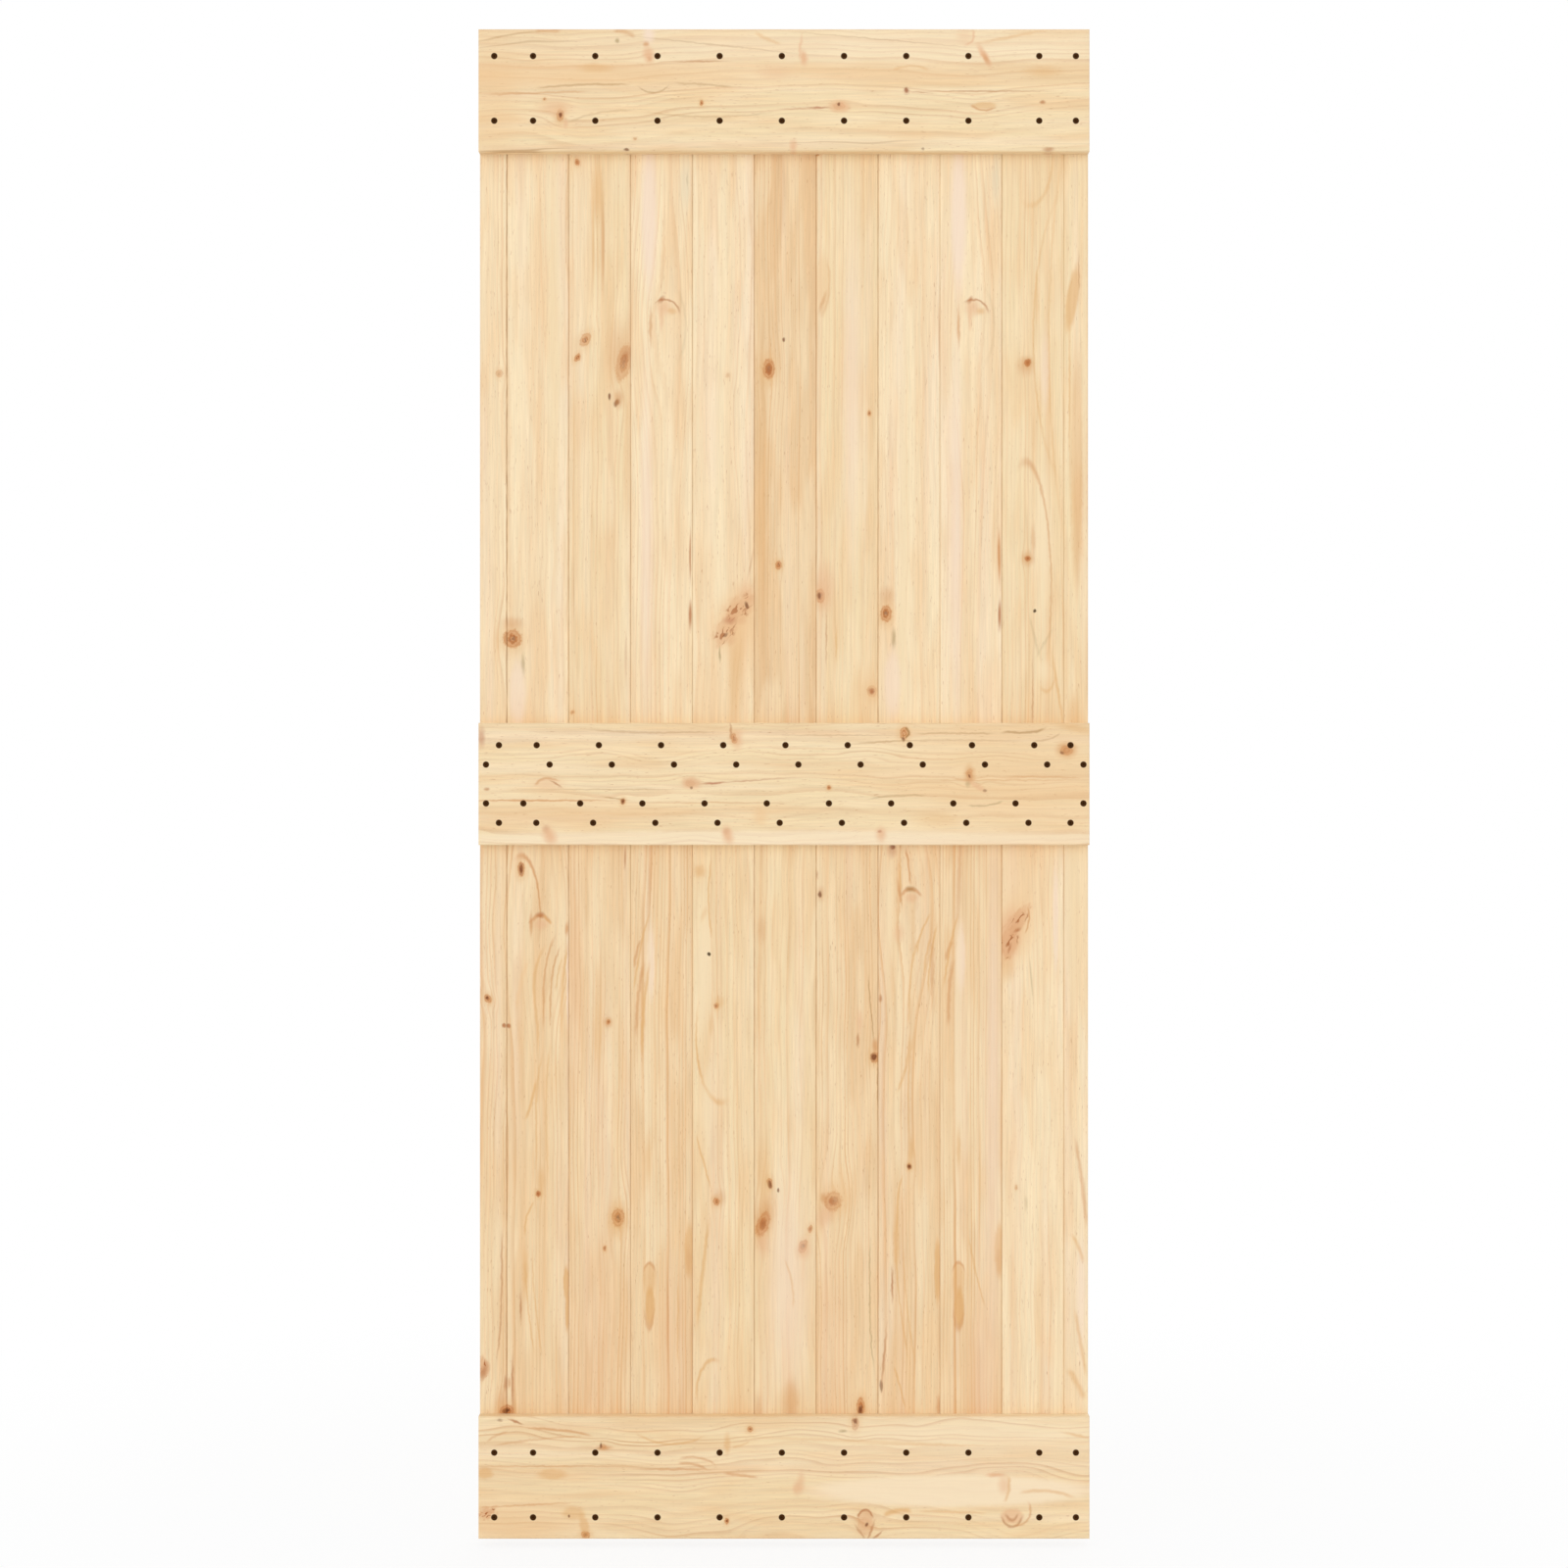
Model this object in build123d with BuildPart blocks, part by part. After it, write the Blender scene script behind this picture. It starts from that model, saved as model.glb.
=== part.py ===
"""Sliding door leaf: two tiers of tongued and grooved pine boards screwed behind three ledges.

Millimetres. X runs across the leaf, to the right seen from the ledged front. The front faces -Y,
and Z is up. The origin is the centre of the top ledge's front face, where the hanger straps bear.
"""

from build123d import *
import math
import os

# Leaf
leaf_width = 850
leaf_height = 2100

# Ledges: the three boards laid across the front
ledge_height = 170
ledge_thickness = 20
ledge_arris = 1.5  # chamfer that eases the edges of a ledge's front face

# Upright boards, as sawn: a ripped starter, full boards, and a closer of what is left
board_thickness = 20
board_cover = 86.5  # joint to joint of a full board
starter_cover = 37.5
narrowest_closer = 30
board_arris = 1.0  # chamfer on the long corners, two of which make the V line of a joint
face_gap = 0.2  # left open between the faces of two boards
tier_gap = 1.0  # between upper and lower boards, behind the middle ledge

# Tongue and groove
tongue_thickness = 6
tongue_length = 7
tongue_lead = 0.8  # chamfer that starts the tongue in the groove
groove_cheek_clearance = 0.2  # on each side of the tongue
groove_end_clearance = 0.8  # past the tip of the tongue

# Screw pockets: flat-bottomed blind holes for the heads
pocket_diameter = 8
pocket_depth = 5

# Pocket columns on the top and bottom ledges, one for each board
starter_screw_inset = 22  # from the left edge of the leaf
board_screw_inset = 38.5  # from the left joint of a full board
last_board_screw_inset = 50.5  # the same, on the full board beside the closer
closer_screw_inset = 19  # from the right edge of the leaf

# Pocket rows on the top and bottom ledges
end_row_spacing = 90
top_row_inset = 37.5  # from the top of the leaf to the higher row
bottom_row_inset = 30  # from the bottom of the leaf to the lower row

# Pockets on the middle ledge: a slanting pair for each board of each tier
pair_run = 18  # sideways, from one pocket of a pair to the other
pair_rise = 27  # from the middle of the ledge to the inner row, and on to the outer row
starter_inner_inset = 10.5  # from the left edge of the leaf to the inner pocket
closer_inner_inset = 8.5  # from the right edge of the leaf to the inner pocket
upper_outer_inset = 43.5  # from a board's left joint to the outer pocket of its upper pair
lower_inner_inset = 17.5  # from a board's left joint to the inner pocket of its lower pair
first_lower_inner_inset = 25  # the same, on the full board beside the starter

# Places worked out from the sizes
leaf_left = -leaf_width / 2
leaf_right = leaf_width / 2
leaf_top = ledge_height / 2
leaf_bottom = leaf_top - leaf_height
middle_ledge_z = (leaf_top + leaf_bottom) / 2
bottom_ledge_z = leaf_bottom + ledge_height / 2
board_middle_y = ledge_thickness + board_thickness / 2
groove_depth = tongue_length + groove_end_clearance
groove_width = tongue_thickness + 2 * groove_cheek_clearance
full_boards = math.floor((leaf_width - starter_cover - narrowest_closer) / board_cover)
joints_x = [leaf_left + starter_cover + n * board_cover for n in range(full_boards + 1)]
board_names = ["starter"] + [f"board_{n}" for n in range(1, full_boards + 1)] + ["closer"]
board_lefts = [leaf_left] + joints_x
board_rights = joints_x + [leaf_right]
tiers = {
    "upper": (middle_ledge_z + tier_gap / 2, leaf_top),
    "lower": (leaf_bottom, middle_ledge_z - tier_gap / 2),
}

os.makedirs("parts", exist_ok=True)


def save(part, name):
    """Label a finished piece and write it to its own file."""
    part.label = name
    export_step(part, f"parts/{name}.step")


def make_board(left, right, bottom, top):
    """One upright board: a groove at a left joint, a tongue at a right one, and plain outer edges."""
    grooved = left > leaf_left
    tongued = right < leaf_right
    face_left = left + face_gap / 2 if grooved else left
    face_right = right - face_gap / 2 if tongued else right
    face_middle = (face_left + face_right) / 2
    with BuildPart() as board:
        with BuildSketch(Plane.XY.offset(bottom)) as section:
            with Locations((face_middle, board_middle_y)):
                Rectangle(face_right - face_left, board_thickness)
            chamfer(section.vertices(), length=board_arris)
            if tongued:
                with Locations((face_right, board_middle_y)):
                    Rectangle(tongue_length, tongue_thickness, align=(Align.MIN, Align.CENTER))
                tongue_tip = section.vertices().group_by(Axis.X)[-1]
                chamfer(tongue_tip, length=tongue_lead)
            if grooved:
                with Locations((face_left, board_middle_y)):
                    Rectangle(
                        groove_depth,
                        groove_width,
                        align=(Align.MIN, Align.CENTER),
                        mode=Mode.SUBTRACT,
                    )
        extrude(amount=top - bottom)
    return board.part


def make_ledge(middle_z, pockets):
    """One ledge across the whole leaf, its front edges eased, drilled at each (x, z) in pockets."""
    with BuildPart() as ledge:
        with BuildSketch(Plane.XZ.offset(-ledge_thickness)):
            with Locations((0, middle_z)):
                Rectangle(leaf_width, ledge_height)
        extrude(amount=ledge_thickness)
        front_face = ledge.faces().sort_by(Axis.Y)[0]
        chamfer(front_face.edges(), length=ledge_arris)
        with BuildSketch(Plane.XZ):
            with Locations(*pockets):
                Circle(pocket_diameter / 2)
        extrude(amount=-pocket_depth, mode=Mode.SUBTRACT)
    return ledge.part


def end_ledge_pockets(rows_z):
    """Pockets of the top or bottom ledge: each row has one for each board."""
    columns_x = (
        [leaf_left + starter_screw_inset]
        + [joint + board_screw_inset for joint in joints_x[:-2]]
        + [joints_x[-2] + last_board_screw_inset]
        + [leaf_right - closer_screw_inset]
    )
    return [(x, z) for z in rows_z for x in columns_x]


def middle_ledge_pockets():
    """Pockets of the middle ledge: slanting pairs, whose outer pocket lies nearer the ledge's edge."""
    starter_inner = leaf_left + starter_inner_inset
    closer_inner = leaf_right - closer_inner_inset
    upper_outer = [joint + upper_outer_inset for joint in joints_x[:-1]]
    lower_inner = [joints_x[0] + first_lower_inner_inset]
    lower_inner += [joint + lower_inner_inset for joint in joints_x[1:-1]]
    inner_upper_row = [starter_inner] + [x + pair_run for x in upper_outer] + [closer_inner]
    outer_upper_row = [starter_inner + pair_run] + upper_outer + [closer_inner - pair_run]
    inner_lower_row = [starter_inner] + lower_inner + [closer_inner]
    outer_lower_row = (
        [starter_inner + pair_run]
        + [x + pair_run for x in lower_inner]
        + [closer_inner - pair_run]
    )
    rows = (
        (2 * pair_rise, outer_upper_row),
        (pair_rise, inner_upper_row),
        (-pair_rise, inner_lower_row),
        (-2 * pair_rise, outer_lower_row),
    )
    return [(x, middle_ledge_z + rise) for rise, row in rows for x in row]


# Boards of both tiers, from the left
for tier, (bottom, top) in tiers.items():
    for name, left, right in zip(board_names, board_lefts, board_rights):
        save(make_board(left, right, bottom, top), f"{tier}_{name}")

# Ledges
top_rows = [leaf_top - top_row_inset, leaf_top - top_row_inset - end_row_spacing]
bottom_rows = [leaf_bottom + bottom_row_inset + end_row_spacing, leaf_bottom + bottom_row_inset]
save(make_ledge(0, end_ledge_pockets(top_rows)), "top_ledge")
save(make_ledge(middle_ledge_z, middle_ledge_pockets()), "middle_ledge")
save(make_ledge(bottom_ledge_z, end_ledge_pockets(bottom_rows)), "bottom_ledge")
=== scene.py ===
"""Looks of the sliding door leaf: the grain and knots of its pine boards and ledges, and its black screws.

Metres, in the leaf's own frame. The wood's marks are placed in millimetres: on a board from its left
joint and down from the top of the leaf, and on a ledge along it and up from its middle.
"""

import math
from collections import namedtuple

import bmesh
import bpy
from mathutils import Matrix, Vector


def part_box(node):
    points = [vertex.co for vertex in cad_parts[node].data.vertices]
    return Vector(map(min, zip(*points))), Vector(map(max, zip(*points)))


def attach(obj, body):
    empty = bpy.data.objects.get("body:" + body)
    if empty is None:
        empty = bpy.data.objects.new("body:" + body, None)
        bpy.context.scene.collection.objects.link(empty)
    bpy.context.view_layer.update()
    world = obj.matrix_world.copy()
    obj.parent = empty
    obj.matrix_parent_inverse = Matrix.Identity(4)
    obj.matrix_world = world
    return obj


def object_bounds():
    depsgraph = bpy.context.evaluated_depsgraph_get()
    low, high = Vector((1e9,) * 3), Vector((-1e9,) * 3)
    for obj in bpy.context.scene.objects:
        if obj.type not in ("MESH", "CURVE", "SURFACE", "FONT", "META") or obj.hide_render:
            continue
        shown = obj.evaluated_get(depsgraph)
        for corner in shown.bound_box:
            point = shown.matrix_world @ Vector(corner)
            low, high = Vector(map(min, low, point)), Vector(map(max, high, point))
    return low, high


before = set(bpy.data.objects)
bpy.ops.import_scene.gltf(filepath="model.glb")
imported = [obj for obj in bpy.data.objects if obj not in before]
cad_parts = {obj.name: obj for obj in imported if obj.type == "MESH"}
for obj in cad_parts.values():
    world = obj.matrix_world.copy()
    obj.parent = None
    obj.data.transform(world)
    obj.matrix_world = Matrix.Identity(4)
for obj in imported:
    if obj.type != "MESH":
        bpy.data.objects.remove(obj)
cad_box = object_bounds()

# Sizes of the leaf, in metres: how far a tongue stands out, and how deep a screw pocket is
MILLIMETRE = 0.001
TONGUE = 0.007
POCKET_FLOOR = 0.005

# Colours of bare pine and of the screws, as they look in plain light
CREAM = "fdeaca"
PALE = "fae4bd"
HONEY = "f5ddb2"
WARM = "f2d6ab"
TAN = "eccca0"
PINK = "f9e1ca"
BLUSH = "e9b78c"
PEACH = "f1c997"
AMBER = "e2ad6c"
ORANGE = "cf8848"
RUST = "b4682f"
RED = "b45e3c"
BROWN = "b08048"
UMBER = "7a4018"
DARK = "783f14"
OLIVE = "ad9264"
GREY = "dfd4b9"
# Painted shade of small holes and of the screw pockets
HOLE_SHADE = "4c3412"
BOARD_LATEWOOD = "dc9f5f"
LEDGE_LATEWOOD = "d8a878"
# Dark line painted along joints and edges: shade in the V-grooves between boards, and some dirt
JOINT_SHADE_AND_DIRT = "b07f4c"
SCREW_DARK = "46290f"
SCREW_SCUFF = "523418"

# How dark each joint line is, from the left: painted shade in the V-groove between two boards, with some
# dirt
JOINT_LINES = {
    "upper": (2.0, 0.9, 0.5, 0.6, 0.7, 0.5, 0.9, 0.0, 0.7, 0.0),
    "lower": (1.2, 0.8, 0.0, 0.0, 0.8, 0.8, 0.6, 0.0, 0.4, 0.0),
}
# The same painted line along the leaf's outer edges, and along the low and top edge of each ledge
LEAF_EDGE_LINE = 0.2
LEDGE_EDGE_LINES = (0.0, 0.8)

# From the noise of one piece of wood to that of the next
SEED_STEP = 17.3

Knot = namedtuple("Knot", "x y wide tall stain heart pull lift tilt")
Tint = namedtuple("Tint", "colour x y wide tall amount tilt soft flowing")
Arc = namedtuple("Arc", "colour x y wide tall amount line tilt facing")
Burl = namedtuple("Burl", "x y wide tall amount tilt")
Curve = namedtuple("Curve", "colour start end line amount bend sway")
Look = namedtuple("Look", "tone pith spacing wave bold marks")


def knot(x, y, wide, tall, stain=0.9, heart=0.6, pull=0.6, lift=0.0, tilt=0.0):
    """A knot: pull parts the grain round it, and lift closes rings round it."""
    return Knot(x, y, wide, tall, stain, heart, pull, lift, math.radians(tilt))


def swirl(x, y, wide, tall, lift=8.0, pull=0.5, stain=0.0, tilt=0.0):
    """Grain that curls where a knot lies under the surface."""
    return Knot(x, y, wide, tall, stain, 0.0, pull, lift, math.radians(tilt))


def tint(colour, x, y, wide, tall, amount=0.5, tilt=0.0, soft=0.8):
    """A patch or pocket of another colour."""
    return Tint(colour, x, y, wide, tall, amount, math.radians(tilt), soft, False)


def streak(colour, x, y, wide, tall, amount=0.5, tilt=0.0):
    """A thin line of another colour, which wanders as the rings beside it do."""
    return Tint(colour, x, y, wide, tall, amount, math.radians(tilt), 0.7, True)


def arc(colour, x, y, wide, tall, amount=0.5, line=3.0, tilt=0.0, facing=(0.0, -1.0)):
    """Part of an oval line, on the side that its direction (across, along) faces."""
    return Arc(colour, x, y, wide, tall, amount, line, math.radians(tilt), facing)


def hole(x, y, wide, tall):
    """A small hole, painted as a dark spot of shade."""
    return tint(HOLE_SHADE, x, y, wide, tall, 0.95, soft=0.4)


def dark(x, y, wide, tall, amount=0.8, tilt=0.0):
    """The dark core of a small knot."""
    return tint(DARK, x, y, wide, tall, amount, tilt, soft=0.5)


def curve(colour, start, end, line, amount=0.5, bend=0.0, sway=0.0):
    """A line from start to end. It bows by bend at its middle, and to and fro by sway at its quarters."""
    return Curve(colour, start, end, line, amount, bend, sway)


def burl(x, y, wide, tall, amount=0.75, tilt=0.0):
    """Torn and tangled grain: ragged dark strokes over an orange patch."""
    return Burl(x, y, wide, tall, amount, math.radians(tilt))


def healed_knot(x):
    """A knot that has healed over, and the streaks about it, which two upper boards have alike."""
    return [
        tint(PINK, 26, 254, 20, 200, 0.8, soft=0.5),
        tint(PINK, 22, 700, 16, 380, 0.6),
        swirl(x, 412, 40, 84, lift=0, pull=0.8),
        tint(BLUSH, x - 1, 384, 18, 20, 0.6),
        tint(AMBER, x + 11, 389, 11, 8, 0.5),
        arc(RUST, x + 1, 392, 40, 38, 0.6, line=2.5, facing=(0.35, -0.8)),
        tint(RUST, x - 4, 373, 10, 5, 0.6, tilt=60),
        tint(BLUSH, x - 4, 401, 5, 28, 0.5),
        arc(OLIVE, x + 3, 410, 54, 120, 0.15, line=3, facing=(0.8, 0.0)),
        streak(RUST, 84, 814, 4, 34, 0.8),
    ]


def look(tone, pith, marks, spacing=5.5, wave=6.0, bold=0.5):
    """How one board or ledge was sawn: its tone, where the pith ran, ring spacing, waviness and marks."""
    return Look(tone, pith, spacing, wave, bold, marks)


BOARD_LOOKS = {
    "upper_starter": look(PALE, (-90, 70), [
        knot(27, 476, 11, 11, stain=0.5, heart=0.2),
        knot(45.5, 847, 27, 27),
        tint(ORANGE, 45, 825, 26, 15, 0.35),
    ], bold=0.25),
    "upper_board_1": look(PALE, (150, 90), [
        knot(8, 847, 27, 27),
        tint(ORANGE, 8, 825, 26, 15, 0.35),
        tint(OLIVE, 23, 883, 5, 26, 0.6),
        tint(PINK, 15, 925, 22, 90, 0.6, soft=0.4),
        tint(HONEY, 66, 420, 16, 500, 0.6),
    ], bold=0.22),
    "upper_board_2": look(HONEY, (150, 80), [
        knot(12, 181, 7, 9),
        tint(AMBER, 40, 224, 16, 70, 0.5),
        streak(ORANGE, 48, 296, 4, 110, 0.5),
        streak(AMBER, 35, 290, 3, 100, 0.4),
        knot(23, 429, 14, 22, stain=0.7, tilt=-35, pull=0.3),
        knot(12, 454, 8, 13, tilt=-25, pull=0.3),
        tint(ORANGE, 70, 440, 34, 70, 0.25, tilt=-12),
        knot(77, 461, 22, 54, stain=0.65, heart=0.4, tilt=-12),
        tint(RUST, 79, 454, 10, 20, 0.45, tilt=-20),
        dark(57, 509, 4, 9),
        dark(67, 517, 6, 11, tilt=-20),
        tint(ORANGE, 70, 512, 12, 22, 0.5),
        tint(AMBER, 82, 600, 10, 180, 0.35),
        streak(RUST, 7, 784, 2, 90, 0.3),
        streak(RUST, 80, 872, 4, 60, 0.25),
        knot(5, 950, 6, 6, stain=0.6, pull=0.2),
    ], wave=4, bold=0.3),
    "upper_board_3": look(PALE, (-90, 60), [
        *healed_knot(47),
        tint(ORANGE, 28, 412, 4, 46, 0.5),
        streak(RUST, 84, 353, 2.5, 88, 0.75),
        streak(RUST, 84, 731, 2.5, 60, 0.7),
        tint(GREY, 77, 211, 14, 60, 0.4),
        tint(OLIVE, 79, 205, 2, 16, 0.3),
    ], wave=4, bold=0.24),
    "upper_board_4": look(PALE, (140, 80), [
        knot(49, 479, 8, 8, stain=0.3, heart=0.1),
        tint(PEACH, 66, 842, 46, 80, 0.5),
        tint(AMBER, 60, 905, 20, 130, 0.5, tilt=-3),
        tint(BLUSH, 75, 788, 20, 34, 0.6),
        tint(PEACH, 62, 818, 52, 76, 0.7, tilt=-30),
        burl(64, 806, 34, 52, tilt=-45),
        burl(46, 838, 30, 52, tilt=-25),
        dark(76, 800, 5, 9, tilt=15),
        tint(RED, 52, 822, 16, 8, 0.4),
        dark(46, 842, 8, 4, 0.6, tilt=40),
        tint(OLIVE, 38, 869, 2.5, 18, 0.7),
        streak(RUST, 81, 742, 3, 40, 0.25, tilt=-12),
        tint(PEACH, 22, 920, 34, 90, 0.3),
    ], bold=0.22),
    "upper_board_5": look(TAN, (-100, 60), [
        knot(20, 470, 18, 30),
        tint(RUST, 20, 472, 7, 9, 0.6),
        dark(41, 429, 4, 6),
        knot(34, 744, 10, 12),
        tint(AMBER, 10, 640, 14, 320, 0.35),
    ], wave=3, spacing=4.5, bold=0.45),
    "upper_board_6": look(HONEY, (-120, 60), [
        knot(2, 169, 6, 8, stain=0.8, pull=0.2),
        tint(PEACH, 9, 350, 20, 80, 0.5, soft=0.4),
        arc(ORANGE, 5, 350, 27, 84, 0.25, line=3, facing=(0.9, 0.3)),
        tint(ORANGE, 9, 376, 5, 26, 0.4, tilt=-20),
        knot(74, 532, 5, 8, stain=0.8, pull=0.2),
        tint(BLUSH, 12, 776, 22, 60, 0.6),
        knot(6, 787, 12, 22, pull=0.4),
        dark(4, 787, 5, 8, 0.7),
        tint(RUST, 14, 848, 2, 66, 0.4),
        tint(AMBER, 28, 855, 2.5, 40, 0.5),
        tint(PEACH, 76, 920, 34, 60, 0.5),
        knot(78, 920, 15, 18, stain=0.8, heart=1.0),
        tint(RUST, 77, 920, 7, 7, 0.7),
        tint(PINK, 50, 500, 20, 400, 0.5),
    ], wave=4, bold=0.35),
    "upper_board_7": look(PALE, (150, 90), [
        knot(11, 812, 17, 24),
        tint(ORANGE, 12, 787, 18, 22, 0.35),
        tint(OLIVE, 22, 847, 5, 24, 0.6),
        tint(PINK, 20, 910, 22, 95, 0.6, soft=0.4),
        streak(RUST, 85, 427, 2, 75, 0.3),
        tint(HONEY, 36, 720, 12, 460, 0.6),
    ], bold=0.2),
    "upper_board_8": look(PALE, (-90, 60), [
        *healed_knot(46),
        tint(ORANGE, 26, 412, 4, 46, 0.55),
        streak(RUST, 84, 358, 2.5, 80, 0.7),
        streak(ORANGE, 83, 731, 4, 60, 0.8),
        tint(GREY, 78, 205, 10, 60, 0.4),
    ], wave=4, bold=0.26),
    "upper_board_9": look(HONEY, (-120, 60), [
        arc(AMBER, 40, 170, 62, 142, 0.35, line=3, facing=(0.6, 0.6)),
        arc(AMBER, 109, 425, 130, 444, 0.4, line=2.5, facing=(-0.75, 0.0)),
        tint(AMBER, 49, 372, 5, 60, 0.4),
        arc(AMBER, 106, 430, 80, 600, 0.35, line=2.5, facing=(-0.75, 0.0)),
        tint(PINK, 60, 470, 10, 90, 0.5),
        knot(36, 461, 10, 11, heart=1.0),
        tint(RUST, 36, 461, 8, 9, 0.85, soft=0.5),
        tint(ORANGE, 33, 466, 20, 22, 0.35),
        tint(PALE, 56, 710, 20, 200, 0.6),
        arc(ORANGE, 33, 780, 72, 360, 0.45, line=2.2, facing=(0.75, -0.6)),
        tint(ORANGE, 36, 735, 16, 18, 0.35),
        knot(36, 735, 9, 9, heart=1.0),
        tint(RUST, 36, 735, 7, 7, 0.6, soft=0.5),
        tint(ORANGE, 44, 708, 5, 40, 0.35),
        hole(46, 808, 4.5, 5),
        tint(OLIVE, 46, 846, 4, 50, 0.25, tilt=14),
        tint(OLIVE, 60, 852, 4, 40, 0.2, tilt=-30),
        tint(PALE, 59, 892, 14, 28, 0.6),
        arc(AMBER, 62, 900, 22, 40, 0.4, line=3, facing=(0.4, 0.9)),
        tint(AMBER, 78, 918, 4, 84, 0.55, tilt=9),
        tint(RUST, 43, 924, 2, 80, 0.45),
    ], wave=5, bold=0.32),
    "upper_closer": look(HONEY, (-60, 50), [
        tint(AMBER, 12, 372, 16, 90, 0.6, tilt=-8, soft=0.3),
        tint(RUST, 21, 334, 2, 46, 0.4),
        tint(AMBER, 18, 610, 17, 320, 0.4, soft=0.35),
        tint(ORANGE, 19, 690, 9, 150, 0.15),
        tint(AMBER, 8, 500, 2.5, 170, 0.5),
        tint(PALE, 29, 400, 5, 700, 0.5),
        tint(AMBER, 14, 950, 16, 50, 0.4),
    ], wave=6, spacing=8, bold=0.16),
    "lower_starter": look(WARM, (110, 60), [
        knot(11, 1350, 10, 13, tilt=30),
        dark(10, 1349, 4, 5),
        tint(RUST, 34, 1388, 6, 6, 0.8, soft=0.5),
        burl(5, 1865, 18, 34, 1.0, tilt=-10),
        tint(RUST, 5, 1872, 8, 22, 0.6, tilt=-15),
        tint(RUST, 36, 1888, 5, 18, 0.6),
        knot(37, 1926, 20, 18, heart=1.0),
        dark(37, 1927, 11, 8),
        tint(ORANGE, 34, 1912, 20, 34, 0.3),
        curve(RUST, (32, 1662), (21, 1867), 3, 0.45, bend=3.5, sway=1.5),
    ], bold=0.3),
    "lower_board_1": look(WARM, (-60, 60), [
        swirl(47, 1250, 44, 62, lift=0, pull=0.85),
        dark(20, 1169, 5, 16, 0.6),
        knot(20, 1169, 10, 22, pull=0.3, heart=0.9),
        arc(ORANGE, 20, 1235, 53, 170, 0.65, line=2.2, facing=(0.6, -0.6)),
        tint(BLUSH, 48, 1246, 18, 14, 0.6),
        arc(ORANGE, 47, 1250, 28, 32, 0.6, line=4, facing=(0.0, -1.2)),
        tint(RUST, 46.5, 1233, 10, 7, 0.6),
        tint(PINK, 85, 1326, 3, 130, 0.6, soft=0.3),
        tint(AMBER, 20, 1380, 12, 180, 0.3),
        tint(RUST, 2.5, 1388, 6, 6, 0.8, soft=0.5),
        tint(AMBER, 48, 1606, 10, 34, 0.45),
        knot(44, 1623, 8, 9, heart=1.0, pull=0.5),
        tint(RUST, 44, 1623, 6, 7, 0.6, soft=0.5),
        tint(ORANGE, 3, 1887, 5, 14, 0.5),
        knot(1, 1926, 18, 18, heart=1.0, pull=0.2),
        curve(AMBER, (50, 1233), (63, 1246), 3, 0.56),
        tint(ORANGE, 33.6, 1246, 4, 28, 0.6),
        curve(ORANGE, (78, 1270), (60, 1395), 3, 0.47, bend=-7, sway=1.5),
        curve(AMBER, (78, 1290), (69, 1342), 3, 0.47, bend=-2),
        curve(AMBER, (87, 1262), (76, 1400), 3, 0.56, bend=-3),
        curve(ORANGE, (71, 1255), (51, 1400), 3, 0.47, bend=-9, sway=2),
        curve(AMBER, (61, 1268), (42, 1430), 4, 0.47, bend=-13, sway=6),
        curve(PEACH, (31, 1292), (13, 1372), 6, 0.56, bend=-3),
        tint(PEACH, 77, 1385, 5, 170, 0.6),
        tint(ORANGE, 84, 1252, 5, 15, 0.6),
        curve(AMBER, (41, 1461), (24, 1523), 4, 0.6, bend=2.5),
        curve(AMBER, (40, 1631), (26, 1684), 3, 0.56, bend=-5.5),
        tint(AMBER, 26, 1736, 8, 60, 0.55),
        curve(AMBER, (26, 1714), (40, 1854), 2.5, 0.47, bend=-3),
        curve(AMBER, (36, 1700), (52, 1860), 2.5, 0.4, bend=-4),
        curve(AMBER, (52, 1420), (40, 1600), 3, 0.4, bend=-5, sway=2),
        curve(AMBER, (64, 1400), (56, 1620), 3, 0.35, bend=-5, sway=2),
        tint(RUST, 19.5, 1782, 3, 34, 0.6),
        tint(RUST, 8, 1888, 3, 60, 0.65),
        tint(AMBER, 83, 1746, 8, 44, 0.7, soft=0.3),
        tint(AMBER, 84.5, 1788, 6, 52, 0.7, soft=0.3),
    ], wave=5, spacing=7, bold=0.48),
    "lower_board_2": look(WARM, (150, 70), [
        tint(AMBER, 41, 1388, 12, 110, 0.4),
        tint(BLUSH, 9, 1330, 20, 300, 0.35),
        streak(RUST, 79, 1153, 2.5, 28, 0.6),
        tint(ORANGE, 55, 1383, 12, 14, 0.35),
        knot(55, 1383, 6, 8, heart=0.9),
        tint(AMBER, 69, 1662, 24, 44, 0.3),
        knot(69, 1656, 18, 28, heart=0.9),
        knot(50, 1699, 5, 8, pull=0.2),
        tint(BLUSH, 38, 1830, 60, 260, 0.3),
    ], wave=3, spacing=5, bold=0.45),
    "lower_board_3": look(WARM, (-80, 50), [
        tint(ORANGE, 26, 1195, 5, 120, 0.5, tilt=-2),
        tint(PINK, 28, 1300, 10, 100, 0.6, soft=0.4),
        tint(PALE, 24, 1430, 9, 460, 0.5),
        tint(AMBER, 25, 1574, 8, 66, 0.4),
        tint(AMBER, 26, 1742, 17, 46, 0.45, soft=0.3),
        tint(AMBER, 27, 1780, 13, 54, 0.75, soft=0.3),
        arc(ORANGE, 26, 1764, 16, 90, 0.4, line=2, facing=(0.0, 1.0)),
        arc(ORANGE, 26, 1740, 17, 40, 0.5, line=2, facing=(0.0, -1.0)),
        tint(AMBER, 82, 1702, 13, 72, 0.5, soft=0.3),
        tint(ORANGE, 81, 1716, 6, 36, 0.25),
        streak(ORANGE, 52, 1800, 2.5, 120, 0.5),
        tint(BLUSH, 60, 1840, 40, 200, 0.3),
        curve(ORANGE, (15, 1265), (5, 1309), 4, 0.47, bend=-2),
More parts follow.
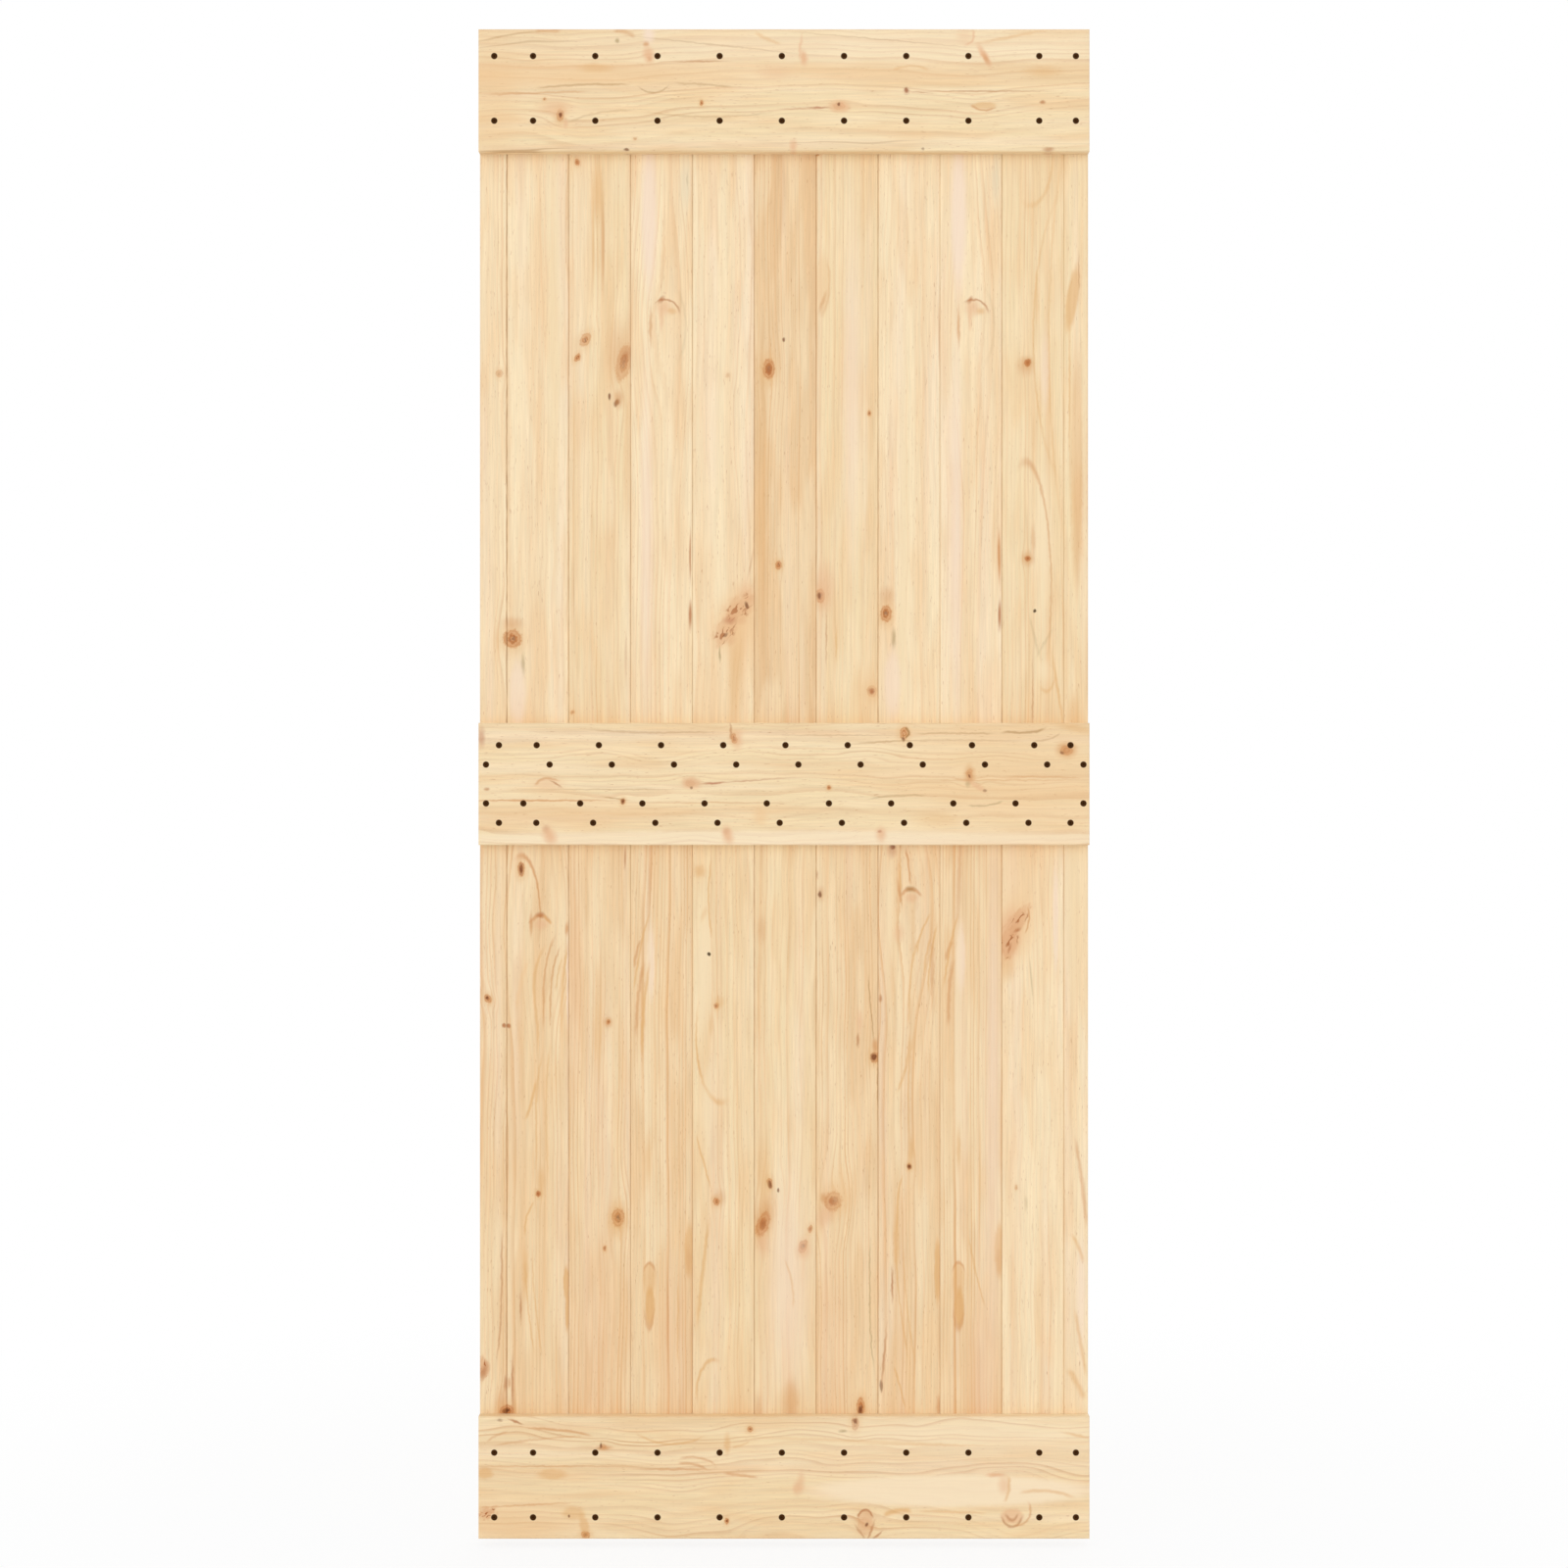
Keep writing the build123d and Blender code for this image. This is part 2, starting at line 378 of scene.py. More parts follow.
        curve(ORANGE, (19, 1294), (8, 1409), 5, 0.47, bend=-3),
        curve(AMBER, (27, 1225), (3, 1345), 3, 0.56, bend=-2),
        curve(AMBER, (28, 1290), (15, 1440), 4, 0.56, bend=-3),
        tint(AMBER, 18, 1365, 5, 90, 0.4),
        curve(AMBER, (66, 1740), (66, 1866), 2.5, 0.47),
    ], wave=4, spacing=5, bold=0.5),
    "lower_board_4": look(HONEY, (150, 70), [
        tint(AMBER, 10, 1172, 15, 15, 0.55),
        tint(PALE, 17, 1300, 24, 170, 0.7),
        tint(AMBER, 16, 1232, 6, 20, 0.3, tilt=-20),
        hole(23, 1288, 4.5, 4.5),
        tint(AMBER, 38, 1354, 14, 12, 0.35, tilt=-45),
        knot(33, 1360, 8, 9, pull=0.3, heart=0.7),
        tint(AMBER, 26, 1387, 6, 28, 0.35),
        arc(AMBER, 40, 1400, 70, 190, 0.7, line=2.8, facing=(-0.65, 0.55)),
        tint(ORANGE, 38, 1628, 16, 18, 0.3),
        knot(33.5, 1634, 10, 12, heart=0.7),
        arc(AMBER, 30, 1900, 48, 90, 0.6, line=3, facing=(-0.6, -0.6)),
        tint(PEACH, 65, 1890, 34, 120, 0.4),
        tint(PALE, 20, 1500, 20, 90, 0.5),
        curve(AMBER, (27, 1150), (28, 1270), 3, 0.56, bend=-5),
        curve(AMBER, (4, 1537), (26, 1618), 3, 0.56),
        curve(AMBER, (24, 1651), (6, 1817), 5, 0.56, bend=-1),
    ], wave=5, bold=0.3),
    "lower_board_5": look(HONEY, (150, 70), [
        tint(ORANGE, 10, 1254, 12, 32, 0.25),
        tint(PINK, 48, 1760, 50, 260, 0.5),
        dark(21.5, 1610, 5, 10, tilt=10),
        knot(21.5, 1608, 8, 15, tilt=10, heart=0.7, pull=0.3),
        dark(33.5, 1618, 3, 6),
        tint(AMBER, 12, 1600, 16, 90, 0.35),
        tint(ORANGE, 14, 1655, 22, 50, 0.35, tilt=-15),
        knot(12, 1665, 18, 38, tilt=-18, heart=0.5),
        tint(RUST, 12, 1665, 8, 10, 0.7),
        tint(BLUSH, 12, 1694, 16, 30, 0.5),
        knot(78, 1672, 7, 12, tilt=-15, heart=0.5, pull=0.2),
        knot(68, 1696, 12, 20, tilt=-25, heart=0.8, pull=0.3),
        tint(BLUSH, 70, 1702, 18, 20, 0.4),
        tint(ORANGE, 52, 1912, 16, 56, 0.35, soft=0.7),
        tint(ORANGE, 5, 1926, 8, 40, 0.3),
        curve(AMBER, (41, 1710), (54, 1787), 3, 0.4, bend=5),
        tint(AMBER, 50, 1913, 28, 40, 0.35),
    ], bold=0.26),
    "lower_board_6": look(WARM, (-80, 60), [
        tint(RUST, 1, 1177, 4, 10, 0.4),
        tint(ORANGE, 6, 1204, 10, 18, 0.35),
        dark(5.5, 1204.5, 5, 8),
        tint(BLUSH, 60, 1382, 8, 30, 0.5),
        tint(RUST, 58.5, 1408, 4, 16, 0.6),
        tint(ORANGE, 82, 1416, 8, 16, 0.6),
        knot(81, 1432, 13, 17, heart=1.0, pull=0.3),
        dark(80, 1432, 8, 10),
        tint(BROWN, 86, 1470, 2, 80, 0.6),
        tint(PEACH, 32, 1618, 36, 50, 0.4),
        knot(24, 1633, 25, 30, tilt=-10, pull=0.7, heart=0.4),
        tint(RUST, 22, 1634, 8, 9, 0.6),
        tint(ORANGE, 10, 1629, 8, 12, 0.5),
        tint(BLUSH, 12, 1655, 20, 30, 0.5, tilt=-35),
        knot(62, 1920, 12, 26, heart=0.6, pull=0.4),
        dark(62, 1925, 6, 10),
        tint(BLUSH, 24, 1840, 44, 240, 0.3),
        curve(BROWN, (72, 1313), (81, 1417), 2, 0.56),
        curve(OLIVE, (75, 1677), (83, 1883), 2.2, 0.47, bend=-4, sway=-1),
    ], wave=4, spacing=5, bold=0.42),
    "lower_board_7": look(WARM, (-60, 60), [
        swirl(45, 1216, 44, 62, lift=0, pull=0.85),
        dark(20, 1138, 8, 7),
        tint(RED, 19, 1144, 12, 16, 0.4),
        tint(PALE, 14, 1240, 12, 190, 0.6),
        tint(ORANGE, 30.5, 1203, 4, 30, 0.55, tilt=8),
        tint(BLUSH, 47, 1209, 16, 12, 0.6),
        arc(ORANGE, 46, 1212, 28, 30, 0.6, line=4, facing=(0.0, -1.2)),
        tint(BROWN, 45, 1197, 12, 7, 0.7),
        tint(BLUSH, 29, 1258, 13, 22, 0.45),
        tint(RUST, 3, 1350, 4, 9, 0.6),
        tint(AMBER, 46, 1562, 8, 36, 0.5),
        knot(43.5, 1584.5, 8, 10, heart=1.0, pull=0.5),
        dark(43.5, 1585, 6, 6, 0.8),
        tint(RUST, 19.5, 1750, 3, 38, 0.7),
        tint(RUST, 8.5, 1850, 3, 70, 0.55, tilt=-5),
        dark(4.5, 1892, 4, 16, 0.6),
        tint(AMBER, 83, 1731, 9, 86, 0.65, soft=0.3),
        tint(ORANGE, 85, 1920, 6, 26, 0.5),
        curve(ORANGE, (37.7, 1138), (45, 1192), 3, 0.61, bend=1.5),
        curve(AMBER, (30, 1157), (32, 1202), 3, 0.56),
        curve(AMBER, (75, 1228), (54, 1294), 3, 0.56, bend=-5),
        curve(AMBER, (75, 1261), (65, 1320), 3, 0.47, bend=-3),
        curve(AMBER, (84, 1240), (70, 1350), 3, 0.56, bend=-4),
        curve(AMBER, (64, 1250), (42, 1400), 3, 0.47, bend=-8, sway=2),
        tint(ORANGE, 75.6, 1311, 5, 92, 0.4),
        curve(AMBER, (44, 1395), (23, 1487), 4, 0.5, bend=6),
        curve(AMBER, (37, 1592), (25, 1684), 3, 0.56, bend=-4, sway=1.5),
        tint(AMBER, 25, 1690, 8, 60, 0.5),
        curve(AMBER, (24, 1684), (44, 1861), 2.5, 0.47, bend=-4),
        curve(AMBER, (35, 1690), (54, 1870), 2.5, 0.4, bend=-4),
        curve(AMBER, (53, 1390), (42, 1560), 3, 0.4, bend=-5, sway=2),
        curve(AMBER, (22, 1861), (39, 1927), 3, 0.56),
    ], wave=5, spacing=7, bold=0.46),
    "lower_board_8": look(WARM, (-80, 50), [
        tint(ORANGE, 26, 1190, 6, 130, 0.45, tilt=-2),
        tint(PINK, 29, 1292, 12, 90, 0.6, soft=0.4),
        tint(PALE, 25, 1420, 10, 420, 0.5),
        tint(AMBER, 26, 1560, 6, 50, 0.5),
        tint(AMBER, 26, 1742, 17, 46, 0.45, soft=0.3),
        tint(AMBER, 27, 1782, 13, 54, 0.8, soft=0.3),
        arc(ORANGE, 26, 1764, 17, 92, 0.4, line=2, facing=(0.0, 1.0)),
        arc(ORANGE, 26, 1740, 18, 42, 0.5, line=2, facing=(0.0, -1.0)),
        tint(AMBER, 83, 1702, 14, 74, 0.6, soft=0.3),
        tint(ORANGE, 82, 1716, 6, 36, 0.25),
        streak(AMBER, 56, 1598, 3, 160, 0.4),
        tint(PINK, 76, 1430, 16, 600, 0.35),
        tint(BLUSH, 60, 1880, 44, 160, 0.35),
        curve(ORANGE, (17, 1268), (8, 1298), 5, 0.47, bend=-1),
        curve(ORANGE, (19, 1291), (12, 1395), 5, 0.47, bend=-3),
        curve(AMBER, (27, 1225), (4, 1340), 3, 0.56, bend=-2),
        curve(AMBER, (39, 1677), (65, 1787), 2.5, 0.47, bend=-2),
    ], wave=4, spacing=5, bold=0.6),
    "lower_board_9": look(PALE, (150, 80), [
        tint(PEACH, 22, 1180, 44, 160, 0.5),
        tint(PINK, 75, 1237, 8, 140, 0.6, soft=0.4),
        tint(PEACH, 14, 1258, 46, 90, 0.8, tilt=-15),
        tint(BLUSH, 10, 1262, 30, 70, 0.6, tilt=-8, soft=0.5),
        burl(23, 1240, 24, 54, 0.9, tilt=-30),
        burl(9, 1272, 32, 50, 0.9, tilt=-15),
        tint(RUST, 22, 1254, 10, 4, 0.6, tilt=30),
        tint(RUST, 11, 1280, 3, 12, 0.6, tilt=-20),
        tint(AMBER, 8, 1308, 16, 30, 0.4),
        streak(OLIVE, 40, 1320, 2.5, 50, 0.35, tilt=5),
        knot(20, 1614, 5, 8, stain=0.5, pull=0.2),
        tint(OLIVE, 33.5, 1636, 4, 18, 0.3),
        tint(AMBER, 52, 1800, 8, 300, 0.2),
        curve(ORANGE, (36, 1220), (31, 1261), 2.5, 0.56, bend=4),
    ], bold=0.3),
    "lower_closer": look(PALE, (-60, 40), [
        tint(HONEY, 12, 1200, 24, 260, 0.6),
        tint(PINK, 24, 1760, 14, 120, 0.5),
        curve(ORANGE, (14, 1537), (32, 1677), 5, 0.42, bend=2.5),
        curve(AMBER, (10, 1677), (28, 1721), 5, 0.47, bend=2),
        curve(AMBER, (15, 1780), (32, 1883), 5, 0.47),
        curve(AMBER, (4, 1865), (30, 1913), 8, 0.47, bend=2),
    ], wave=6, spacing=8, bold=0.18),
}

LEDGE_LOOKS = {
    "top_ledge": look(HONEY, (-140, 90), [
        tint(CREAM, 120, 62, 800, 46, 0.5),
        tint(PEACH, 0, 23, 2400, 32, 0.25, soft=0.15),
        tint(PEACH, -330, 23, 360, 32, 0.4, soft=0.4),
        tint(AMBER, -262, 31, 44, 12, 0.35, soft=0.6),
        tint(PEACH, -405, -20, 60, 160, 0.4),
        streak(BROWN, -380, 76, 90, 2.5, 0.35, tilt=7),
        streak(BROWN, -355, 65, 130, 2.5, 0.3, tilt=4),
        tint(OLIVE, -231.5, 69, 5, 6, 0.7),
        tint(PINK, -188, 77, 14, 20, 0.9),
        tint(ORANGE, -192, 64, 7, 6, 0.6),
        tint(BLUSH, -188, 49, 13, 20, 0.8, tilt=10),
        knot(-187, 44, 6, 6, stain=0.7, heart=0.4, pull=0.6),
        tint(BROWN, -95, 63, 200, 2, 0.3, tilt=-6),
        tint(RUST, -115, 40, 56, 2, 0.45),
        tint(BLUSH, -15, 24, 40, 18, 0.3),
        tint(BLUSH, 23, 62, 4, 28, 0.5, tilt=-8),
        tint(BLUSH, 27, 45, 9, 18, 0.85, tilt=10),
        tint(BROWN, 130, 71, 210, 2, 0.3, tilt=-5),
        tint(AMBER, 315, 74, 80, 4, 0.4, tilt=11),
        arc(BLUSH, 251, 76, 26, 24, 0.6, line=3, facing=(0.9, -0.4)),
        tint(BLUSH, 251, 76, 20, 18, 0.3),
        tint(BLUSH, 279, 48, 8, 28, 0.9, tilt=30),
        tint(ORANGE, 281, 43, 6, 14, 0.4, tilt=30),
        arc(AMBER, 177, 24, 46, 20, 0.35, line=3, facing=(0.0, 1.3)),
        tint(AMBER, 360, 26, 44, 14, 0.35),
        knot(-333, -12.5, 5, 5, stain=0.6, pull=0.2),
        tint(BLUSH, -318, -24, 40, 18, 0.5),
        knot(-311.5, -35, 11, 17, stain=0.8, heart=0.8, pull=0.6),
        tint(BLUSH, -303, -47, 6, 10, 0.5),
        dark(-311.5, -34, 5, 6),
        knot(-115, -18, 6, 8, heart=1.0, pull=0.3),
        knot(-207.5, -67.5, 6, 5, stain=0.5, pull=0.2),
        dark(-219, -82.5, 8, 3.5),
        streak(BROWN, -365, -82.5, 110, 2.5, 0.5),
        dark(170.5, 0, 5, 7, 0.7),
        tint(RED, 170.5, -1, 7, 9, 0.4),
        tint(RUST, 275, -1.4, 140, 2.2, 0.5),
        tint(RUST, 190, -3, 30, 2, 0.4, tilt=-5),
        tint(BLUSH, 78, -23, 27, 15, 0.6, soft=0.5),
        knot(77, -22, 16, 10, stain=0.6, heart=0.3, pull=0.8),
        dark(76.5, -19.5, 4, 4),
        tint(RED, 48, -24.5, 26, 2.5, 0.65),
        tint(RED, 18, -26, 40, 2, 0.35),
        tint(AMBER, 279, -21, 32, 10, 0.45, soft=0.3),
        arc(ORANGE, 279, -18, 36, 20, 0.6, line=2.5, facing=(-0.2, -1.0)),
        tint(RUST, 359.5, -16.5, 7, 5, 0.7),
        tint(BLUSH, 13, -78, 9, 16, 0.7),
        streak(BROWN, 90, -72, 160, 2.2, 0.35, tilt=2),
        dark(193, -82, 4, 4, 0.5),
        tint(RUST, 368, -82, 14, 5, 0.6),
        curve(BROWN, (-352, 2.4), (-206, 7.4), 3.0, 0.45, bend=2.7),
        curve(BROWN, (-206, 7.6), (-157, 10), 3.0, 0.41, bend=-12.3),
        curve(BROWN, (-157, 10), (-67, 4), 3.0, 0.33, bend=1),
        curve(ORANGE, (-422, -6), (-265, -1.4), 3.0, 0.37),
        curve(AMBER, (-42.5, 82), (-2, 64), 4.8, 0.37, bend=-2.5),
        curve(BROWN, (-305, -47), (-202, -29), 3.0, 0.26, bend=7),
        curve(BROWN, (-202, -29), (-4, -29), 3.0, 0.26, bend=-8),
        curve(ORANGE, (-348, 83), (-308, 83), 6.0, 0.37),
        curve(ORANGE, (-239, 83), (-205, 73), 6.0, 0.37, bend=3),
    ], spacing=8, wave=16, bold=0.45),
    "middle_ledge": look(HONEY, (150, 70), [
        tint(CREAM, 0, -76, 1000, 22, 0.6, soft=0.3),
        tint(PEACH, 330, 10, 300, 150, 0.45),
        tint(PEACH, -330, -42, 300, 36, 0.4),
        tint(RED, -421, 65, 9, 24, 0.45),
        tint(RUST, -74, 74, 3, 22, 0.5),
        knot(-69.5, 63, 9, 15, stain=0.9, heart=0.6, pull=0.6, tilt=10),
        tint(BLUSH, -64, 62, 12, 24, 0.5),
        tint(BLUSH, -328, 0, 36, 14, 0.4),
        arc(ORANGE, -328, -3, 34, 22, 0.5, line=3, facing=(-0.3, 1.0)),
        tint(RUST, -317, 0, 16, 2.5, 0.6, tilt=-32),
        tint(BROWN, -230, -7.5, 150, 2, 0.35),
        tint(RED, -129, 3, 24, 12, 0.2, soft=0.5),
        tint(BLUSH, -129, 1, 26, 16, 0.5, soft=0.5),
        knot(-130, 1, 14, 10, stain=0.4, heart=0.0, pull=0.8),
        dark(-129, -5, 4, 4, 0.6),
        tint(RED, -98, 1, 28, 3, 0.7, tilt=2),
        tint(RED, -45, 5, 90, 2, 0.4, tilt=4),
        dark(-224, -24, 4, 7),
        knot(-224, -24, 7, 10, heart=1.0, pull=0.5),
        tint(ORANGE, -340, -23, 165, 2.5, 0.65),
        tint(BROWN, -236, -20, 30, 2, 0.5, tilt=-8),
        tint(ORANGE, -110, -26, 200, 2, 0.35),
        tint(RED, -331, -63, 9, 9, 0.4),
        tint(BLUSH, -326, -72, 16, 22, 0.8, tilt=25),
        tint(RED, -80, -66, 7, 8, 0.4),
        tint(BLUSH, -78, -71, 13, 22, 0.8, tilt=15),
        tint(BLUSH, 135, -70, 13, 18, 0.7),
        tint(RED, 133, -66, 5, 4, 0.5),
        tint(RUST, -413.5, -7.5, 7, 4, 0.6),
        tint(PEACH, -33, -44, 18, 22, 0.6),
        tint(BROWN, 70, 68, 150, 2, 0.3),
        tint(BROWN, 130, 58, 60, 2, 0.35, tilt=4),
        arc(BROWN, 168.5, 71, 10, 12, 0.9, line=2.5, facing=(3.0, 0.5)),
        knot(167, 70, 12, 18, stain=0.9, heart=0.0, pull=0.6),
        dark(166, 62, 5, 6, 0.7),
        tint(ORANGE, 258, 13, 12, 22, 0.4),
        knot(258, 14, 10, 16, stain=0.8, heart=0.3, pull=0.8),
        dark(258, 11, 3, 5, 0.7),
        tint(OLIVE, 256, 0, 6, 8, 0.4),
        tint(BLUSH, 269, -3, 26, 7, 0.6, tilt=-35),
        dark(279.5, -9, 5, 4, 0.5),
        tint(ORANGE, 393, 48, 22, 18, 0.5),
        knot(393, 47, 18, 14, stain=0.9, heart=0.2, pull=0.3),
        dark(387, 44, 6, 4, 0.6),
        knot(62, -5, 6, 7, pull=0.2),
        tint(ORANGE, 300, 5.5, 240, 2, 0.3),
        tint(AMBER, 212, -50, 54, 20, 0.25),
        tint(AMBER, 405, 78, 44, 10, 0.4, tilt=-12),
        curve(BROWN, (-285, 78), (-81, 72), 3.0, 0.33, bend=-3.5, sway=1),
        curve(BROWN, (175, 70), (299, 70.6), 2.6, 0.37),
        curve(BROWN, (299, 70.6), (368, 81), 3.4, 0.6, bend=-4.3, sway=-2),
        curve(BROWN, (85, 57), (345, 59.5), 2.6, 0.26, bend=2.8),
        curve(BROWN, (345, 59.5), (386, 72), 2.6, 0.3, bend=-4),
        curve(OLIVE, (112, -22), (202, -17), 2.6, 0.37, bend=3.5),
        curve(OLIVE, (252, -30), (308, -23), 2.6, 0.45, bend=-3.5),
        curve(ORANGE, (301, 11), (422, 8.5), 2.6, 0.3),
    ], spacing=8, wave=14, bold=0.48),
    "bottom_ledge": look(HONEY, (-130, 60), [
        tint(CREAM, 235, -18, 390, 44, 0.8, soft=0.2),
        tint(CREAM, 260, 60, 420, 50, 0.5),
        tint(PEACH, -390, -60, 160, 60, 0.5),
        tint(UMBER, -395, 80.5, 7, 4, 0.5),
        tint(RUST, -373, 78, 18, 3, 0.75, tilt=-20),
        tint(ORANGE, -250, 42, 18, 6, 0.65),
        dark(-255, 45, 3.5, 7),
        knot(-251, 44, 8, 8, stain=0.4, heart=0.0, pull=0.8),
        tint(ORANGE, -150, 12, 90, 3, 0.5),
        knot(-47, 67.5, 9, 9, heart=0.9, pull=0.5),
        tint(AMBER, -79, 47, 7, 26, 0.5),
        tint(AMBER, -416, 6, 22, 15, 0.55, soft=0.4),
        tint(AMBER, -322, 5, 40, 14, 0.5, soft=0.4),
        burl(-412, -48, 28, 18, 1.0, tilt=20),
        tint(AMBER, -293, -49, 30, 17, 0.45, soft=0.4),
        tint(AMBER, -278, -66, 12, 32, 0.5, soft=0.5, tilt=12),
        dark(-299, -53.5, 3, 4),
        knot(-276, -79, 13, 11, stain=0.9, heart=0.8, pull=0.3),
        knot(-79.5, -60, 6, 9, heart=0.9, pull=0.2),
        knot(99, 75, 12, 19, stain=0.9, heart=0.2, pull=0.5),
        dark(99, 79, 6, 7, 0.7),
        tint(OLIVE, 82, 65, 9, 4, 0.6),
        tint(AMBER, 80, 52, 240, 4, 0.3, tilt=-2),
        tint(AMBER, 200, 46, 160, 3, 0.35, tilt=-1),
        tint(AMBER, 408, 59, 36, 4, 0.5, tilt=-12),
        tint(BLUSH, 24, -6, 9, 24, 0.5),
        tint(BLUSH, 18, -14, 10, 18, 0.6),
        swirl(302, -14, 36, 34, lift=0, pull=0.8),
        tint(BLUSH, 294, 4, 22, 5, 0.8),
        tint(BLUSH, 306, -10, 14, 22, 0.5),
        arc(RUST, 113, -60, 22, 30, 0.8, line=2.5, facing=(0.0, 1.4)),
        tint(RUST, 106, -76, 3, 22, 0.5, tilt=35),
        tint(RUST, 121, -74, 3, 24, 0.6, tilt=-20),
        tint(BLUSH, 113, -62, 18, 26, 0.5),
        knot(113, -63, 22, 34, stain=0.35, heart=0.0, pull=0.6),
        dark(115, -65, 4, 6),
        tint(RUST, 130, -80, 14, 3, 0.65, tilt=40),
        swirl(316, -54, 34, 30, lift=0, pull=0.6),
        tint(BLUSH, 317, -53, 30, 20, 0.6, soft=0.3),
        arc(RUST, 317, -46, 30, 44, 0.55, line=2.5, facing=(0.0, -1.2)),
        arc(RUST, 317, -46, 17, 26, 0.5, line=2.5, facing=(0.0, -1.2)),
        arc(ORANGE, 324, -46, 38, 40, 0.45, line=3, facing=(0.9, -0.6)),
        tint(ORANGE, -330, 16, 180, 2.2, 0.4),
        tint(ORANGE, -360, -38, 130, 2.2, 0.4, tilt=3),
        curve(ORANGE, (-361, 71), (-261, 56), 3.6, 0.56, bend=2.5, sway=1),
        curve(ORANGE, (-415, 49.5), (-382, 65), 3.0, 0.33, bend=2),
        curve(ORANGE, (-413, 43), (-269, 58.5), 3.0, 0.33, bend=2.8),
        curve(AMBER, (-211, 65), (-105, 61), 3.6, 0.45, bend=-16),
        curve(AMBER, (-74, 43), (-47, 52), 3.6, 0.35, bend=-2.5),
        curve(ORANGE, (-150, 20), (-105, 11), 4.2, 0.45, bend=3.7),
        curve(ORANGE, (-148, 26), (-92, 16), 3.6, 0.41, bend=7),
        curve(ORANGE, (-87, 7), (-33, 0), 4.2, 0.45),
        curve(AMBER, (135, -54), (180, -46), 7.2, 0.63, bend=4),
        curve(AMBER, (180, -46), (290, -49), 3.6, 0.37),
        curve(AMBER, (312, 5), (305.5, -36), 4.8, 0.48, bend=4),
        curve(AMBER, (323.5, -22), (409, -29), 4.8, 0.48, bend=7),
    ], spacing=8, wave=26, bold=0.65),
}


def linear(code):
    """Linear colour of six hex digits."""
    parts = [int(code[place:place + 2], 16) / 255 for place in (0, 2, 4)]
    return (*[part / 12.92 if part <= 0.04045 else ((part + 0.055) / 1.055) ** 2.4 for part in parts], 1.0)


def between(first, second, share):
    """Colour that lies the given share of the way from the first to the second."""
    return tuple(a + (b - a) * share for a, b in zip(linear(first), linear(second)))


# Shorthand for building node trees

def join(tree, value, socket):
    """Link another node's output to a socket, or set the socket to a plain value."""
    if isinstance(value, bpy.types.NodeSocket):
        tree.links.new(value, socket)
    else:
        socket.default_value = value


def add(tree, kind, inputs, **settings):
    """A new shader node with its settings and inputs."""
    node = tree.nodes.new("ShaderNode" + kind)
    for name, value in settings.items():
        setattr(node, name, value)
    for name, value in inputs.items():
        join(tree, value, node.inputs[name])
    return node


def maths(tree, operation, *values):
    return add(tree, "Math", dict(enumerate(values)), operation=operation).outputs[0]


def vectors(tree, operation, *values):
    return add(tree, "VectorMath", dict(enumerate(values)), operation=operation).outputs[0]


def distance_from_zero(tree, vector):
    return add(tree, "VectorMath", {0: vector}, operation="LENGTH").outputs["Value"]


def ramp(tree, value, start, end, low=0.0, high=1.0):
    """A smooth step from low, at start, to high, at end."""
    inputs = {0: value, 1: start, 2: end, 3: low, 4: high}
    return add(tree, "MapRange", inputs, interpolation_type="SMOOTHSTEP").outputs[0]


def noise(tree, place, scale, seed=0.0, detail=0.0):
    """A noise texture with its own scale in each direction of the wood, moved by its seed."""
    moved = seed if isinstance(seed, bpy.types.NodeSocket) else (seed, seed, seed)
    stretched = vectors(tree, "MULTIPLY_ADD", place, scale, moved)
    return add(tree, "TexNoise", {"Vector": stretched, "Scale": 1.0, "Detail": detail})


def mixed(tree, amount, first, second, blend_type="MIX"):
    inputs = {0: amount, 6: first, 7: second}
    return add(tree, "Mix", inputs, data_type="RGBA", blend_type=blend_type).outputs[2]


def new_group(name, inputs, outputs):
    """An empty shader node group with the named sockets: its tree, and what comes in and goes out."""
    tree = bpy.data.node_groups.new(name, "ShaderNodeTree")
    for in_out, sockets in (("INPUT", inputs), ("OUTPUT", outputs)):
        for socket, kind in sockets.items():
            tree.interface.new_socket(socket, in_out=in_out, socket_type="NodeSocket" + kind)
    given = tree.nodes.new("NodeGroupInput").outputs
    result = tree.nodes.new("NodeGroupOutput").inputs
    return tree, given, result


def place_group(tree, group, inputs):
    """Outputs of a node group placed in a material."""
    node = add(tree, "Group", {}, node_tree=group)
    for name, value in inputs.items():
        join(tree, value, node.inputs[name])
    return node.outputs


# Effects that the wood shares

# How often each noise comes again, in turns a millimetre across, deep and along the wood
RING_SWAY = (0.004, 0.004, 0.0032)
RING_RIPPLE = (0.04, 0.04, 0.009)
BANDS = (0.045, 0.045, 0.0012)
PATCHES = (0.05, 0.05, 0.007)
FADING = (0.02, 0.02, 0.004)
FIBRES = (1.3, 1.3, 0.03)
STRANDS = (0.32, 0.32, 0.012)
FLECKS = (0.9, 0.9, 0.1)
GRIT = (0.45, 0.45, 0.3)
SHAKE = (0.16, 0.16, 0.1)
EDGE_UNEVENNESS = (0.2, 0.2, 0.05)

# What places a mark in the wood, and what lays a colour there
PLACED = {"Wood": "Vector", "Centre": "Vector", "Size": "Vector", "Turn": "Vector"}
COLOURED = {**PLACED, "Color": "Color", "Tint": "Color", "Amount": "Float"}


def inside_mark(tree, given):
    """Place in the wood as a mark sees it: from its centre, along its own axes, in its half sizes."""
    place = {
        "Vector": given["Wood"],
        "Location": given["Centre"],
        "Rotation": given["Turn"],
        "Scale": given["Size"],
    }
    return add(tree, "Mapping", place, vector_type="TEXTURE").outputs[0]


